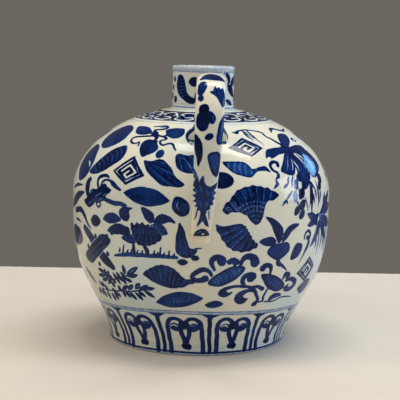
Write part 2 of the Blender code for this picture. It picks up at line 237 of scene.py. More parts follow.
def facing(points, breaks):
    """Outward direction: the step round crossed with the step along, worked out apart between breaks."""
    parts = []
    for part in np.split(points, breaks):
        around = np.roll(part, -1, axis=1) - np.roll(part, 1, axis=1)
        along = np.gradient(part, axis=0, edge_order=2 if len(part) > 2 else 1)
        parts.append(np.cross(around, along))
    normal = np.concatenate(parts)
    return normal / np.maximum(np.linalg.norm(normal, axis=-1, keepdims=True), 1e-9)


def grid_faces(rows, columns, closed):
    """Corner numbers of each cell of the grid, and the column and row that it starts at."""
    row = np.arange(rows if closed else rows - 1)[:, None] + np.zeros((1, columns), int)
    column = np.arange(columns)[None] + np.zeros_like(row)
    right, up = (column + 1) % columns, (row + 1) % rows
    corners = np.stack([row * columns + column, row * columns + right, up * columns + right,
                        up * columns + column], axis=-1).reshape(-1, 4)
    return corners, column.reshape(-1), row.reshape(-1)


def flat_map(column, row, rows, columns, strips):
    """Lays the ring out as strips under each other: across by column, up by row, with a small margin."""
    per = columns // strips
    strip = column // per
    across = np.stack([column - strip * per] * 4, axis=-1) + np.array([0, 1, 1, 0])
    up = np.stack([row] * 4, axis=-1) + np.array([0, 0, 1, 1])
    u = 0.004 + 0.992 * across / per
    v = (strip[:, None] + 0.03 + 0.94 * up / rows) / strips
    return np.stack([u, v], axis=-1)


# %% Mesh of a piece


def fill_mesh(name, vertices, groups):
    """A smooth mesh of the vertices and of groups of cells, each given with its places on the flat map."""
    loops = np.concatenate([cells.reshape(-1) for cells, _ in groups])
    uv = np.concatenate([places.reshape(-1, 2) for _, places in groups])
    sides = np.concatenate([np.full(len(cells), cells.shape[1]) for cells, _ in groups])
    mesh = bpy.data.meshes.new(name)
    mesh.vertices.add(len(vertices))
    mesh.vertices.foreach_set("co", vertices.reshape(-1))
    mesh.loops.add(len(loops))
    mesh.loops.foreach_set("vertex_index", loops)
    mesh.polygons.add(len(sides))
    mesh.polygons.foreach_set("loop_start", np.concatenate([[0], np.cumsum(sides)[:-1]]))
    mesh.polygons.foreach_set("loop_total", sides)
    mesh.update(calc_edges=True)
    mesh.polygons.foreach_set("use_smooth", np.ones(len(sides), bool))
    mesh.uv_layers.new(name="OFBake").data.foreach_set("uv", uv.reshape(-1))
    return mesh


def make_piece(name, points, fields, material, nodes, breaks=(), closed=True, strips=1):
    """Makes a mesh from a grid of places in millimetres, puts the numbers on it and hangs it on the frame."""
    rows, columns = points.shape[:2]
    normals = facing(points, list(breaks)).reshape(-1, 3)
    corners, column, row = grid_faces(rows, columns, closed)
    places = flat_map(column, row, rows, columns, strips)
    groups = [(corners, places)]
    keep = np.arange(rows * columns)
    if not closed:
        # Each end row is one point: its cells lose a corner and all share the one number.
        last = (rows - 2) * columns + 1
        index = np.concatenate([np.zeros(columns, int), np.arange(1, last), np.full(columns, last)])
        keep = np.concatenate([[0], np.arange(columns, (rows - 1) * columns), [rows * columns - 1]])
        corners = index[corners]
        normals[0], normals[-1] = normals[:2 * columns].sum(axis=0), normals[-2 * columns:].sum(axis=0)
        groups = [(corners[columns:-columns], places[columns:-columns]),
                  (corners[:columns][:, [0, 2, 3]], places[:columns][:, [0, 2, 3]]),
                  (corners[-columns:][:, [0, 1, 2]], places[-columns:][:, [0, 1, 2]])]
    vertices = points.reshape(-1, 3)[keep] / 1000
    a, b, c, d = (vertices[corners[:, k]] for k in range(4))
    volume = (a * (np.cross(b, c) + np.cross(c, d))).sum() / 6 * 1e6
    assert volume > 0, name + " is inside out"
    mesh = fill_mesh(name, vertices, groups)
    for field, values in fields.items():
        numbers = mesh.attributes.new(field, "FLOAT", "POINT")
        numbers.data.foreach_set("value", values.reshape(-1)[keep].astype(np.float32))
    mesh.validate()
    mesh.normals_split_custom_set_from_vertices(normals[keep].tolist())
    mesh.materials.append(material)
    piece = bpy.data.objects.new(name, mesh)
    bpy.context.scene.collection.objects.link(piece)
    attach(piece, "root")
    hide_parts(*nodes)
    print(f"{name}: {len(mesh.polygons)} faces, {volume:.1f} ml")


# %% [markdown]
# ## The painter's canvas
# A canvas says for each place of a grid how far round and how far up the pot it lies, and keeps the
# painting as depths in millimetres: how deep the place is inside a dense line, inside a wash, inside a
# reserve where the white shows. A depth below zero is outside. Depths change evenly from cell to cell, so
# an edge stays crisp between cells, where a plain painted colour would show steps.

# %% Canvas
OUTSIDE = -9.0
BLANK = {"ink": OUTSIDE, "wash": OUTSIDE, "light": OUTSIDE, "bare": OUTSIDE, "tone": 0.0, "vein": 0.0}


def blank_canvas(east, up, radius):
    """East in degrees, up in millimetres, and the radius in millimetres that turns degrees to length."""
    return {"east": east, "up": up, "radius": radius,
            **{field: np.full(up.shape, blank) for field, blank in BLANK.items()}}


def painted_fields(canvas, spare_rows=0):
    """The painted numbers of a canvas, followed by unpainted rows for the skins that hold no painting."""
    fields = {}
    for field, blank in BLANK.items():
        kept = np.maximum(canvas[field], OUTSIDE) if blank == OUTSIDE else canvas[field]
        fields[field] = np.concatenate([kept, np.full((spare_rows, kept.shape[1]), blank)])
    return fields


# %% [markdown]
# ## Brush marks
# A painter of such wares has few moves: a stroke that swells and thins with the pressure, a leaf with two
# pointed ends, and an outline that is filled with a wash. Each is a small function that returns the mark's
# points, in degrees round and millimetres up, and the rule that gives its depth.

# %% Strokes


def smooth(points, steps):
    """A smooth path through the points, at each point parallel to the line between its neighbours."""
    p = np.array(points, float)
    p = np.vstack([2 * p[0] - p[1], p, 2 * p[-1] - p[-2]])
    u = np.linspace(0, 1, steps, endpoint=False)[:, None]
    a, b, c, d = p[:-3, None], p[1:-2, None], p[2:-1, None], p[3:, None]
    curve = 0.5 * (2 * b + (c - a) * u + (2 * a - 5 * b + 4 * c - d) * u ** 2
                   + (3 * b - a - 3 * c + d) * u ** 3)
    return np.vstack([curve.reshape(-1, p.shape[1]), p[-2:-1]])


def to_stretch(x, y, start, end):
    """Distance to a straight stretch, and the share along it of the nearest place."""
    (x0, y0), (x1, y1) = start[:2], end[:2]
    ex, ey = x1 - x0, y1 - y0
    u = np.clip(((x - x0) * ex + (y - y0) * ey) / (ex * ex + ey * ey + 1e-9), 0, 1)
    return np.hypot(x - x0 - u * ex, y - y0 - u * ey), u


def brush(*points, steps=7, tone=None, edge=0.5):
    """A stroke along (round, up, width): half the width there, less the distance to its spine."""
    def depth(x, y, path, hinge):
        deep = np.full(x.shape, OUTSIDE)
        for start, end in zip(path[:-1], path[1:]):
            away, u = to_stretch(x, y, start, end)
            deep = np.maximum(deep, (start[2] + (end[2] - start[2]) * u) / 2 - away)
        return deep, (x + y) / 3.0, None
    path = smooth(points, steps) if steps > 1 and len(points) > 2 else np.array(points, float)
    return {"path": path, "depth": depth, "tone": tone, "gap": 0.0, "edge": edge}


def curl(east, up, radius, start, sweep, width):
    """A spiral stroke: starts at an angle in degrees, turns by sweep and winds in to a heavy head."""
    u = np.linspace(0, 1, 12)
    angle = np.radians(start + sweep * u)
    reach = radius * (1 - 0.75 * u)
    stretch = np.degrees(1) / float(girth_at(up))
    return brush(*zip(east + reach * np.cos(angle) * stretch, up + reach * np.sin(angle),
                      width * (0.45 + 0.55 * u)))


# %% Leaves


def leaf(start, end, width, blunt=1.5, bend=0.0, tone=0.85, ribs=(0.5, 0.9), gap=0.0, edge=0.55):
    """The shape shared by two equal circles, with its points rounded, and bent sideways where asked."""
    def depth(x, y, path, hinge):
        (x0, y0), (x1, y1) = path[:, :2]
        half = math.hypot(x1 - x0, y1 - y0) / 2
        ux, uy = (x1 - x0) / 2 / half, (y1 - y0) / 2 / half
        px, py = x - (x0 + x1) / 2, y - (y0 + y1) / 2
        along = px * ux + py * uy
        side = py * ux - px * uy - bend * (1 - (along / half) ** 2)
        wide, long = width / 2 - blunt, half - blunt
        ball = (long ** 2 + wide ** 2) / (2 * wide)
        deep = ball - np.hypot(along, np.abs(side) + ball - wide) + blunt
        return deep, (along * ribs[0] + np.abs(side) * ribs[1]) / 2.0, None
    return {"path": np.array([start, end], float), "depth": depth, "tone": tone, "gap": gap, "edge": edge}


# %% Outlined shapes, shells and rings


def outline(*points, steps=4, tone=0.88, hinge=None, ribs=3.0, grain=-37.0, rows=(), lobes=0.0, gap=0.0,
            edge=0.55):
    """A closed outline: distance to its nearest edge, less than zero outside.

    Pale ribs fan from its hinge, crossed by rows at given distances from it, and may notch the edge into
    lobes. Without a hinge streaks run along the grain, an angle in degrees.
    """
    slope = math.radians(grain)

    def depth(x, y, path, hinge):
        near = np.full(x.shape, 99.0)
        inside = np.zeros(x.shape, bool)
        for start, end in zip(path, np.roll(path, -1, axis=0)):
            near = np.minimum(near, to_stretch(x, y, start, end)[0])
            (x0, y0), (x1, y1) = start, end
            if y1 != y0:
                inside ^= ((y0 > y) != (y1 > y)) & (x < x0 + (y - y0) / (y1 - y0) * (x1 - x0))
        deep = np.where(inside, near, -near)
        if hinge is None:
            return deep, (y * math.cos(slope) - x * math.sin(slope)) / 2.2, None
        reach = np.hypot(x - hinge[0], y - hinge[1])
        vein = np.arctan2(y - hinge[1], x - hinge[0]) * ribs
        fan = np.cos(2 * math.pi * vein)
        deep = deep - lobes * (1 + fan) / 2
        light = 0.42 * fan - 0.34
        for radius in rows:
            dash = 0.55 * (1 - np.cos(2 * math.pi * vein * 1.5)) / 2
            light = np.maximum(light, 0.6 - dash - np.abs(reach - radius))
        return deep, vein, np.minimum(light, deep - 0.8)
    closed = np.array(points, float)
    if steps > 1:
        ring = np.vstack([closed[-1], closed, closed[:2]])
        closed = smooth(ring, steps)[steps:-steps - 1]
    return {"path": closed, "depth": depth, "tone": tone, "gap": gap, "edge": edge,
            "hinge": None if hinge is None else np.array([hinge], float)}


def ring(up, width, tone=None):
    """A line painted while the pot turns: half its width less the distance up or down, drifting a little."""
    def depth(x, y, path, hinge):
        return width / 2 - np.abs(y + 0.25 * np.sin(x / 23) + 0.15 * np.sin(x / 9.7 + 1)), x / 9, None
    return {"path": np.array([(-180, up), (180, up)], float), "depth": depth, "tone": tone, "gap": 0.0,
            "edge": -1.0, "around": True}


# %% [markdown]
# ## Laying the marks on a canvas
# The marks go on one after another as the painter laid them. Each is worked out only on the cells near
# it, as far as it may bulge past its points, and the hand's slight unsteadiness is added as a few waves.
# A mark with a gap keeps a thin white line round itself where it crosses what was painted before.

# %% Paint
MARK_BULGE = 12


def shaken(x, y, shake):
    """Places as an unsteady hand meets them, moved by a slow wave and a quicker one each way."""
    return (x + 0.28 * np.sin(y / 5.3 + shake) + 0.14 * np.sin(y / 1.9 + 2 * shake),
            y + 0.28 * np.sin(x / 6.1 + 3 * shake) + 0.14 * np.sin(x / 2.3 + shake))


def unroll(points, centre, radius_of):
    """Turns (degrees, millimetres) into flat millimetres about a centre."""
    flat = points.copy()
    flat[:, 0] = np.radians(points[:, 0] - centre[0]) * radius_of(points[:, 1])
    flat[:, 1] = points[:, 1] - centre[1]
    return flat


def paint(canvas, marks, radius_of, turns=(0,), up=None):
    """Lays each mark on the canvas, once for each turn round the pot."""
    up = canvas["up"] if up is None else up
    low, high = up.min() - 3, up.max() + 3
    for count, mark in enumerate(marks):
        path = mark["path"]
        wide = path[:, 2].max() / 2 if path.shape[1] > 2 else MARK_BULGE
        if path[:, 1].max() + wide < low or path[:, 1].min() - wide > high:
            continue
        centre = (path[:, :2].min(axis=0) + path[:, :2].max(axis=0)) / 2
        flat = unroll(path, centre, radius_of)
        hinge = mark.get("hinge")
        hinge = None if hinge is None else unroll(hinge, centre, radius_of)[0]
        reach = np.abs(flat[:, :2]).max(axis=0) + wide + 3
        for turn in turns:
            y = up - centre[1]
            x = np.radians((canvas["east"] - centre[0] - turn + 180) % 360 - 180) * canvas["radius"]
            near = np.abs(y) < reach[1]
            if not mark.get("around"):
                near &= np.abs(x) < reach[0]
            x, y = x[near], y[near]
            if x.size == 0:
                continue
            if not mark.get("around"):
                x, y = shaken(x, y, 1.9 * count + turn)
            deep, vein, light = mark["depth"](x, y, flat, hinge)
            lay(canvas, near, mark, deep, vein, light)


def lay(canvas, near, mark, deep, vein, light):
    """Joins one mark to what is there: reserves its gap, then keeps the deeper of old and new."""
    ink, wash, reserve = canvas["ink"][near], canvas["wash"][near], canvas["light"][near]
    if "pale" in mark:
        canvas["light"][near] = np.maximum(reserve, np.minimum(deep, mark["pale"]))
        return
    reserve = np.where(deep > 0, OUTSIDE, reserve)
    if mark["gap"] > 0 or mark.get("white"):
        ink, wash = np.minimum(ink, -deep - mark["gap"]), np.minimum(wash, -deep - mark["gap"])
    if mark.get("white"):
        light = None
    elif mark["tone"] is None:
        ink = np.maximum(ink, deep)
    else:
        own = deep > wash
        canvas["tone"][near] = np.where(own, mark["tone"], canvas["tone"][near])
        canvas["vein"][near] = np.where(own, vein, canvas["vein"][near])
        wash = np.maximum(wash, deep)
        ink = np.maximum(ink, mark["edge"] - np.abs(deep - mark["edge"]))
    canvas["ink"][near], canvas["wash"][near] = ink, wash
    canvas["light"][near] = reserve if light is None else np.maximum(reserve, light)


# %% [markdown]
# ## Small figures made of marks
# The scattered emblems repeat a few moves: fern leaflets along a stem, pale bands left across a shell, a
# lozenge frame that holds a fret of hooks. Each helper returns a list of marks. A mark that is left white
# takes the painting away, and a pale one only thins it, as a brush does that is nearly dry.

# %% White and pale marks


def white(mark):
    """The same mark, left as bare white ground."""
    return {**mark, "white": True}


def pale(mark, most=1.0):
    """The same mark, as a place where the cobalt lies thin; a low most makes it faint."""
    return {**mark, "pale": most}


def bands(start, end, reach, count, width=0.8, bow=1.2, radius=None, most=1.0):
    """Pale bowed lines across a shape: evenly spaced from start to end, reaching out to both sides."""
    mm = np.radians(1) * (float(girth_at((start[1] + end[1]) / 2)) if radius is None else radius)
    run, lift = (end[0] - start[0]) * mm, end[1] - start[1]
    whole = math.hypot(run, lift)
    run, lift = run / whole, lift / whole
    marks = []
    for share in np.linspace(0, 1, count):
        x, y = start[0] + share * (end[0] - start[0]), start[1] + share * (end[1] - start[1])
        stops = [(x + (bow * (1 - s * s) * run - s * reach * lift) / mm,
                  y + bow * (1 - s * s) * lift + s * reach * run,
                  width * (1 - 0.4 * s * s)) for s in (-1, 0, 1)]
        marks.append(pale(brush(*stops), most))
    return marks


# %% Ferns and lozenges


def fern(*leaflets, width=3.9, tone=0.94):
    """Single leaflets, each from its foot (round, up) to its tip."""
    return [leaf((a, b), (c, d), width, blunt=0.9, tone=tone, edge=0.6) for a, b, c, d in leaflets]


def lozenge(top, left, bottom, right):
    """A framed lozenge: a dark frame, a white line, and a dark field with a fret of hooks left white."""
    corners = np.array([top, left, bottom, right], float)
    middle = corners.mean(axis=0)

    def inner(share):
        return [tuple(p) for p in middle + (corners - middle) * share]

    def at(p, q):
        return tuple(middle + (corners[3] - corners[1]) / 2 * (p + q) / 2
                     + (corners[0] - corners[2]) / 2 * (q - p) / 2)

    turns = [(-0.45, -0.45), (-0.45, 0.45), (0.45, 0.45), (0.45, -0.45), (0, -0.45), (0, 0.02)]
    hook = brush(*[(*at(p, q), 1.9) for p, q in turns], steps=1)
    return [outline(*inner(1.04), steps=1, tone=1.0, edge=1.4), white(outline(*inner(0.82), steps=1)),
            outline(*inner(0.75), steps=1, tone=1.0, edge=1.4), white(hook)]


# %% [markdown]
# ## The left half of the body
# The emblems are scattered evenly, each turned its own way, and the white between them is about as wide
# as a finger. Places are degrees to the right of the handle and millimetres up the wall. The list starts
# at the shoulder and goes down.

# %% Leaves, cocoon and bow of the upper left
BODY_MARKS = [
    outline((-60, 225.6), (-54.5, 224), (-50.3, 219), (-48.8, 211), (-49.6, 203), (-52.5, 197.5),
            (-57, 193.4), (-61.5, 191.8), (-66, 194.8), (-69.6, 201), (-70.8, 209), (-69.4, 217),
            (-65.6, 223), grain=80),
    outline((-72, 194.4), (-66.4, 192.4), (-62.8, 186), (-60.4, 178), (-60, 170.4), (-61.6, 163.4),
            (-65, 158.6), (-68.6, 157.4), (-72, 161.6), (-75.4, 169), (-77.6, 179), (-77, 188), grain=85),
    white(brush((-66.2, 176.5, 1.0), (-64, 174.6, 2.2), (-62.2, 171.8, 1.2))),
    outline((-60, 167.4), (-54, 166.4), (-49.8, 169), (-45, 175.6), (-41, 183), (-39.9, 189.6), (-41, 195.6),
            (-43, 198.2), (-46, 197), (-50, 192.6), (-53.8, 185.4), (-57.4, 177), grain=42, tone=0.92,
            edge=0.8),
    *bands((-56, 169.6), (-42.6, 194.4), 7.4, 8, width=0.75, bow=2.0),
    leaf((-49.5, 224.5), (-33, 217), 12, blunt=2, bend=-1.5, ribs=(0.2, 1.0)),
    outline((-24, 222), (-21, 224.8), (-16.6, 226.2), (-12, 225.6), (-11.2, 219.4), (-12.8, 213.4),
            (-15.6, 210.6), (-19, 211.4), (-22.2, 215.2), grain=110),
    brush((-32, 221.4, 2.4), (-31.4, 219, 3.4), (-29.8, 215.6, 6.6), (-27.8, 212.4, 3.6), (-26.5, 209.6, 3.2),
          (-27.4, 207, 2.4), (-25.6, 205.5, 2.4)),
    brush((-37.5, 217.5, 1.6), (-34.2, 216.5, 2.4), (-31, 215.6, 2.4)),
    brush((-23.8, 213, 2), (-21, 215.4, 2.6)),
    brush((-28, 215, 2), (-24.5, 213.2, 2.4), (-22.4, 212.6, 2.8), (-20.6, 209.8, 2.4), (-23.4, 206.7, 2),
          (-21.4, 202, 2.2), (-18, 204, 2.2), (-15.6, 203, 2.4), (-14.7, 199.5, 2), (-13.4, 196, 1.2)),
    brush((-35.5, 227, 1.4), (-31.3, 228.2, 2.2), (-27.2, 229, 2.6), (-24.4, 227.2, 2.2), (-25, 224.2, 2.6),
          (-28, 223, 2.6), (-31.6, 222.6, 2.4)),
    brush((-31, 213, 2.6), (-37, 211.5, 2.4), (-42, 209.8, 2.4), (-43.2, 206, 2.3), (-41, 202.6, 2.3),
          (-38, 201.8, 2), (-36.2, 203.6, 2.2), (-35.2, 199, 1.4)),
    leaf((-30, 226.7), (-24.5, 226), 2.6, blunt=0.8, tone=0.35, edge=0.1),
    outline((-31, 208), (-27, 207), (-24.6, 203.6), (-22.8, 198.4), (-23.4, 194), (-26.4, 190.4),
            (-29.4, 187.6), (-31.4, 191), (-33.2, 196.4), (-34, 201.6), (-33, 206), grain=100),
    leaf((-20.8, 187), (-20.8, 196.2), 7.6, blunt=3),
]
print(len(BODY_MARKS), "marks on the upper left")

# %% Lozenge, shells and leaves beside the strap
BODY_MARKS += [
    *lozenge((-33.6, 187), (-42.4, 171.5), (-33.8, 160.5), (-25.6, 170)),
    outline((-27.6, 184.3), (-24.2, 184.3), (-19.5, 186.4), (-15.8, 183), (-13, 176.5), (-10.6, 170),
            (-8, 166), (-7, 163.5), (-9, 161.2), (-13, 160.8), (-17, 162.6), (-20.5, 167), (-22.6, 170.5),
            (-25.2, 175.5), (-27, 180.5), hinge=(-31, 188), ribs=4.6, lobes=0.5, tone=0.95),
    outline((-12.8, 190.5), (-11, 193.3), (-7.5, 191.6), (-3, 191), (-1.5, 182), (-2.5, 174.6), (-5.5, 173.6),
            (-9, 176), (-11.6, 181), hinge=(-14, 203), ribs=4, lobes=0.3, tone=0.95),
    pale(brush((-11, 190, 0.5), (-7.6, 186, 0.9), (-4, 179, 0.6))),
    leaf((-33, 153.3), (-13.4, 149.4), 15.8, blunt=2.5, bend=0.8, ribs=(0.3, 0.9)),
    outline((-10.6, 153), (-8, 153), (-5.4, 149.4), (-4.4, 144), (-5, 139), (-7.6, 137), (-10.4, 140),
            (-11.8, 145), grain=70, edge=1.0),
    pale(brush((-9.4, 149.6, 0.5), (-9.8, 145.4, 1.1), (-8.6, 141.4, 0.6))),
]

# %% Tied rolls and branches
BODY_MARKS += [
    brush((-50, 142.4, 2.4), (-46.4, 145.6, 4.4), (-44, 148.2, 2.4), tone=0.6, edge=0.7),
    outline((-60, 141), (-57.4, 144.6), (-55.4, 148), (-54.4, 151.4), (-52.6, 153), (-50.4, 153.2),
            (-48, 156), (-45.5, 159.6), (-43, 157), (-40.7, 154), (-45, 148), (-49.7, 142.8), (-55.2, 136),
            grain=50, tone=0.97, edge=0.9),
    pale(brush((-51.6, 145.4, 0.6), (-49, 148.4, 1.1), (-46.2, 151.2, 0.7))),
    pale(brush((-47.4, 145.8, 0.5), (-44.8, 149.4, 0.9), (-42.6, 151.6, 0.5))),
    pale(brush((-54.8, 148.4, 0.5), (-53.6, 150.6, 0.8), (-52, 151.2, 0.4))),
    pale(brush((-56.8, 138.4, 0.5), (-55, 140.4, 1), (-53.6, 142.2, 0.4))),
    brush((-57, 161.4, 3.6), (-58, 156.6, 8), (-57.5, 151, 7), (-56.4, 145.6, 4), tone=0.95),
    leaf((-57, 162.8), (-55.4, 160.2), 2.8, blunt=1.1, tone=0.6),
    brush((-49, 155.6, 2.8), (-50.3, 160, 3), (-50, 163.8, 3.4), (-48, 166.2, 3.4), (-45.6, 166.6, 3),
          (-43.4, 165.2, 1.2)),
    brush((-47.6, 156.4, 2.2), (-47, 160.6, 2.4), (-44.9, 162.8, 1.8), (-42.4, 162.2, 2.4), (-40.2, 160, 4.2),
          (-35.8, 155.6, 2), tone=0.8, edge=0.6),
    brush((-46, 147.2, 3), (-42.5, 144.8, 4), (-38.8, 143.9, 4.2), (-35.6, 144.1, 3.8), (-33, 142.6, 4.2),
          tone=0.8, edge=0.6),
    brush((-49.9, 140.5, 1.8), (-48.3, 142.6, 1.4), (-46.8, 140.5, 1.8), (-48.3, 138.2, 1.8),
          (-49.9, 140.5, 1.8)),
    brush((-77, 134, 8), (-71, 139.5, 9), (-65.5, 145.5, 6), (-60.5, 148.6, 1.4), tone=0.9),
    brush((-75, 150, 3), (-69, 153, 3), (-63, 154.5, 1)),
    brush((-71, 130, 5), (-64, 132, 5), (-60, 128, 4.4), (-57, 122, 3), (-54, 118, 1.2), tone=0.95),
    brush((-70.5, 122.5, 2), (-67, 122, 2.4), (-63.5, 120.4, 1)),
    leaf((-53.8, 125.5), (-47.3, 125.8), 10.4, blunt=4.4, tone=0.95),
    outline((-78, 113), (-72, 116.4), (-66, 114.4), (-62.4, 108), (-63.6, 102.6), (-68, 98.6), (-74, 98.4),
            (-78, 101), grain=30),
]

# %% Flower on its ground
BODY_MARKS += [
    leaf((-45.2, 128.5), (-34.8, 130.2), 9.5, blunt=1, bend=1.5),
    outline((-35.6, 139.5), (-33.4, 141.4), (-29, 141.8), (-31, 138.6), (-30.4, 133.5), (-32, 129.4),
            (-34.4, 131), (-36, 135), grain=70),
    outline((-25, 142.6), (-21.5, 141.4), (-19.3, 138), (-19.4, 133.5), (-20.8, 129.8), (-23.4, 133),
            (-24.2, 137), grain=100),
    outline((-9.9, 130.8), (-12, 135.6), (-15.4, 138.2), (-18, 135.5), (-19.4, 129.6), (-15.5, 129.6),
            (-12.8, 131.6), grain=150),
    leaf((-42, 119), (-31, 122.3), 9.5, blunt=2.2, bend=1),
    outline((-41, 120), (-38.6, 124.2), (-35, 124), (-31, 124.6), (-30.4, 118.5), (-34, 117), (-37.6, 117.8),
            (-40.4, 115.4), grain=20),
    leaf((-21.5, 126), (-13.3, 121.5), 9.5, blunt=2, bend=1),
    outline((-34.6, 115), (-31.4, 118.4), (-29, 117), (-27.4, 113), (-28.6, 110), (-31.6, 111)),
    outline((-30, 126.5), (-29.4, 129.6), (-28, 127.6), (-27, 130.6), (-25.6, 128.6), (-24.2, 130.4),
            (-23, 127.8), (-21.4, 129), (-20.6, 126.4), (-18.6, 127.4), (-17, 122), (-15.6, 117),
            (-18, 112.6), (-21, 110), (-24, 109), (-27, 111), (-28.6, 116), (-29.8, 121), steps=2,
            hinge=(-23, 134), ribs=4.6, lobes=0.7, tone=0.97, gap=0.5),
    brush((-28.6, 110, 2.6), (-28.4, 106, 3.4), (-28.4, 102, 2.6)),
    brush((-23.6, 110, 3), (-22.4, 106, 4), (-22.2, 102, 2.6)),
    brush((-38.8, 97.8, 1.8), (-34, 99.6, 3.6), (-26, 101.4, 3.6), (-17, 101.6, 3.6), (-9.8, 101.4, 3),
          tone=0.72, edge=0.5),
    *[brush((east, 102.4, 2.0), (east + 0.5, 103 + tall, 1.3)) for east, tall in [
        (-36, 2.5), (-34, 5.5), (-32, 1.6), (-30, 1.8), (-27, 2.2), (-25, 2), (-19.6, 3), (-18, 2),
        (-16.8, 6.5), (-15.4, 2), (-13, 4), (-11, 2)]],
]

# %% Crossed rolls and the cone
BODY_MARKS += [
    brush((-59.6, 117, 6), (-55, 110.5, 9), (-50, 101, 9.6), (-45, 92.5, 9.4), (-41, 86.6, 6), tone=0.9,
          edge=0.9),
    outline((-61.6, 92), (-60.4, 87), (-57, 85.4), (-54.6, 86.6), (-50.6, 93), (-45.6, 101), (-41, 108.4),
            (-41.2, 112.6), (-44, 115), (-47, 114.6), (-50, 110), (-55, 102), (-59.6, 95.6), steps=2,
            grain=52, tone=0.97, edge=0.9, gap=0.8),
    *[pale(brush((a, b, 0.8), (c, d, 1.0)), 0.1)
      for a, b, c, d in [(-58.6, 90.4, -45.6, 110), (-55.6, 89.4, -43.4, 107)]],
    leaf((-46.4, 109.4), (-42.4, 113.2), 6.4, blunt=2, tone=1.0),
    *[leaf((a - 0.9, b), (a + 0.9, b), 4, blunt=1.7, tone=1.0)
      for a, b in [(-50.5, 112), (-43, 114), (-57.5, 101), (-43, 98.5), (-50, 87), (-41, 87)]],
    outline((-8.4, 131.4), (-9, 127), (-9.8, 119), (-10.3, 110), (-9.4, 104.6), (-7, 101.6), (-4.6, 102),
            (-2.6, 104.4), (-1.2, 108), (-2.4, 109.6), (-4.6, 111), (-5.4, 117), (-6.4, 125),
            hinge=(-8.2, 146), ribs=9, tone=0.95),
    leaf((-9, 97.6), (-5.2, 97.6), 5.6, blunt=2.4, tone=0.95),
    leaf((-3.6, 101.6), (-0.4, 101), 4.8, blunt=1.9, tone=0.95),
    brush((-2, 109.4, 1.6), (0.6, 110, 0.8)),
]

# %% Fan shell and leaf of the lower left
BODY_MARKS += [
    outline((-25, 84.6), (-22.4, 89.4), (-18.6, 93.6), (-14.8, 94.2), (-11.4, 92), (-9, 88), (-7, 84),
            (-5, 82.4), (-1.6, 82.6), (-2, 78.8), (-4.6, 77), (-7, 74), (-11.5, 72.2), (-16, 73.6),
            (-20.4, 77.6), (-23.6, 81.4), hinge=(-15, 58), ribs=6.4, lobes=0.4, tone=0.93),
    leaf((-66, 78), (-59, 65), 6, blunt=1.5, tone=0.6),
    leaf((-20.3, 56.6), (1.1, 63.6), 16.6, blunt=2.4, bend=0.8, ribs=(0.3, 0.9)),
    *bands((-15.6, 59.4), (-5, 62), 3.2, 8, width=0.9, bow=1.6, most=0.05),
]

# %% Ferns
BODY_MARKS += [
    brush((-47.4, 79, 1.2), (-47, 73.4, 1.3), (-43.4, 73.6, 1.4), (-38.6, 76.6, 1.5), (-34.2, 79.6, 1.3),
          (-32.6, 83, 1)),
    *fern((-47.5, 79.5, -52.2, 81.4), (-47.5, 77, -46.6, 83.2), (-47.6, 76.6, -53, 75.4),
          (-46.8, 73.6, -44.6, 82), (-46.8, 74, -50.8, 70.6), (-45, 73, -43.3, 78.2), (-43.6, 75.4, -47, 68),
          (-38.6, 71, -41.6, 80.4), (-36.8, 74, -39.4, 82), (-34.8, 71.4, -36.8, 77.6),
          (-34.4, 76.4, -37, 83), (-34.6, 77.6, -31.2, 75), (-43, 75.6, -41.4, 70.4),
          (-34.4, 82, -35.3, 90.2), (-33, 80, -27.8, 82.8)),
    leaf((-33.2, 82), (-27.4, 90), 5, blunt=1, tone=0.5, edge=0.9),
    brush((-55, 61, 1.2), (-46.2, 61, 1.4), (-37.5, 64.4, 1.6), (-33.2, 64.8, 1.6), (-28.5, 67, 1.5),
          (-24, 69, 1.1)),
    *fern((-53, 63, -55, 68), (-51.3, 63, -52.4, 68.6), (-49.4, 59, -50.5, 65.2), (-56.5, 60.6, -59.8, 53),
          (-53.6, 61, -56.2, 53.4), (-53.8, 59, -53.6, 51.4), (-50.8, 59, -50.4, 51),
          (-42.8, 66.4, -44, 71.6), (-45.6, 64.8, -43.3, 60.4), (-43.5, 60.9, -41.2, 56.4),
          (-46.8, 58.6, -46.4, 50.4), (-44.9, 60.4, -43.3, 52.4), (-40.3, 68.6, -39.8, 62),
          (-38.3, 65.4, -37.9, 57), (-36.3, 64, -34.2, 57.4), (-34, 63.4, -31.2, 56), (-31, 64.4, -27.7, 57),
          (-29, 66.6, -25.6, 61.4), (-38, 66.2, -34.2, 70.4), (-28.4, 67.6, -23.8, 73.8),
          (-26, 69.3, -20.4, 71.6), (-26, 68, -20.9, 61.6)),
    *[leaf((a, b), (c, d), 4.4, blunt=0.9, tone=0.5, edge=0.9)
      for a, b, c, d in [(-34.6, 65.8, -31.4, 72), (-30.6, 67.6, -27.3, 74.6)]],
]

# %% [markdown]
# ## The right half of the body
# A drooping plant, a big scallop and a radish fill the belly, with lotus pods on a scrolling stem below.

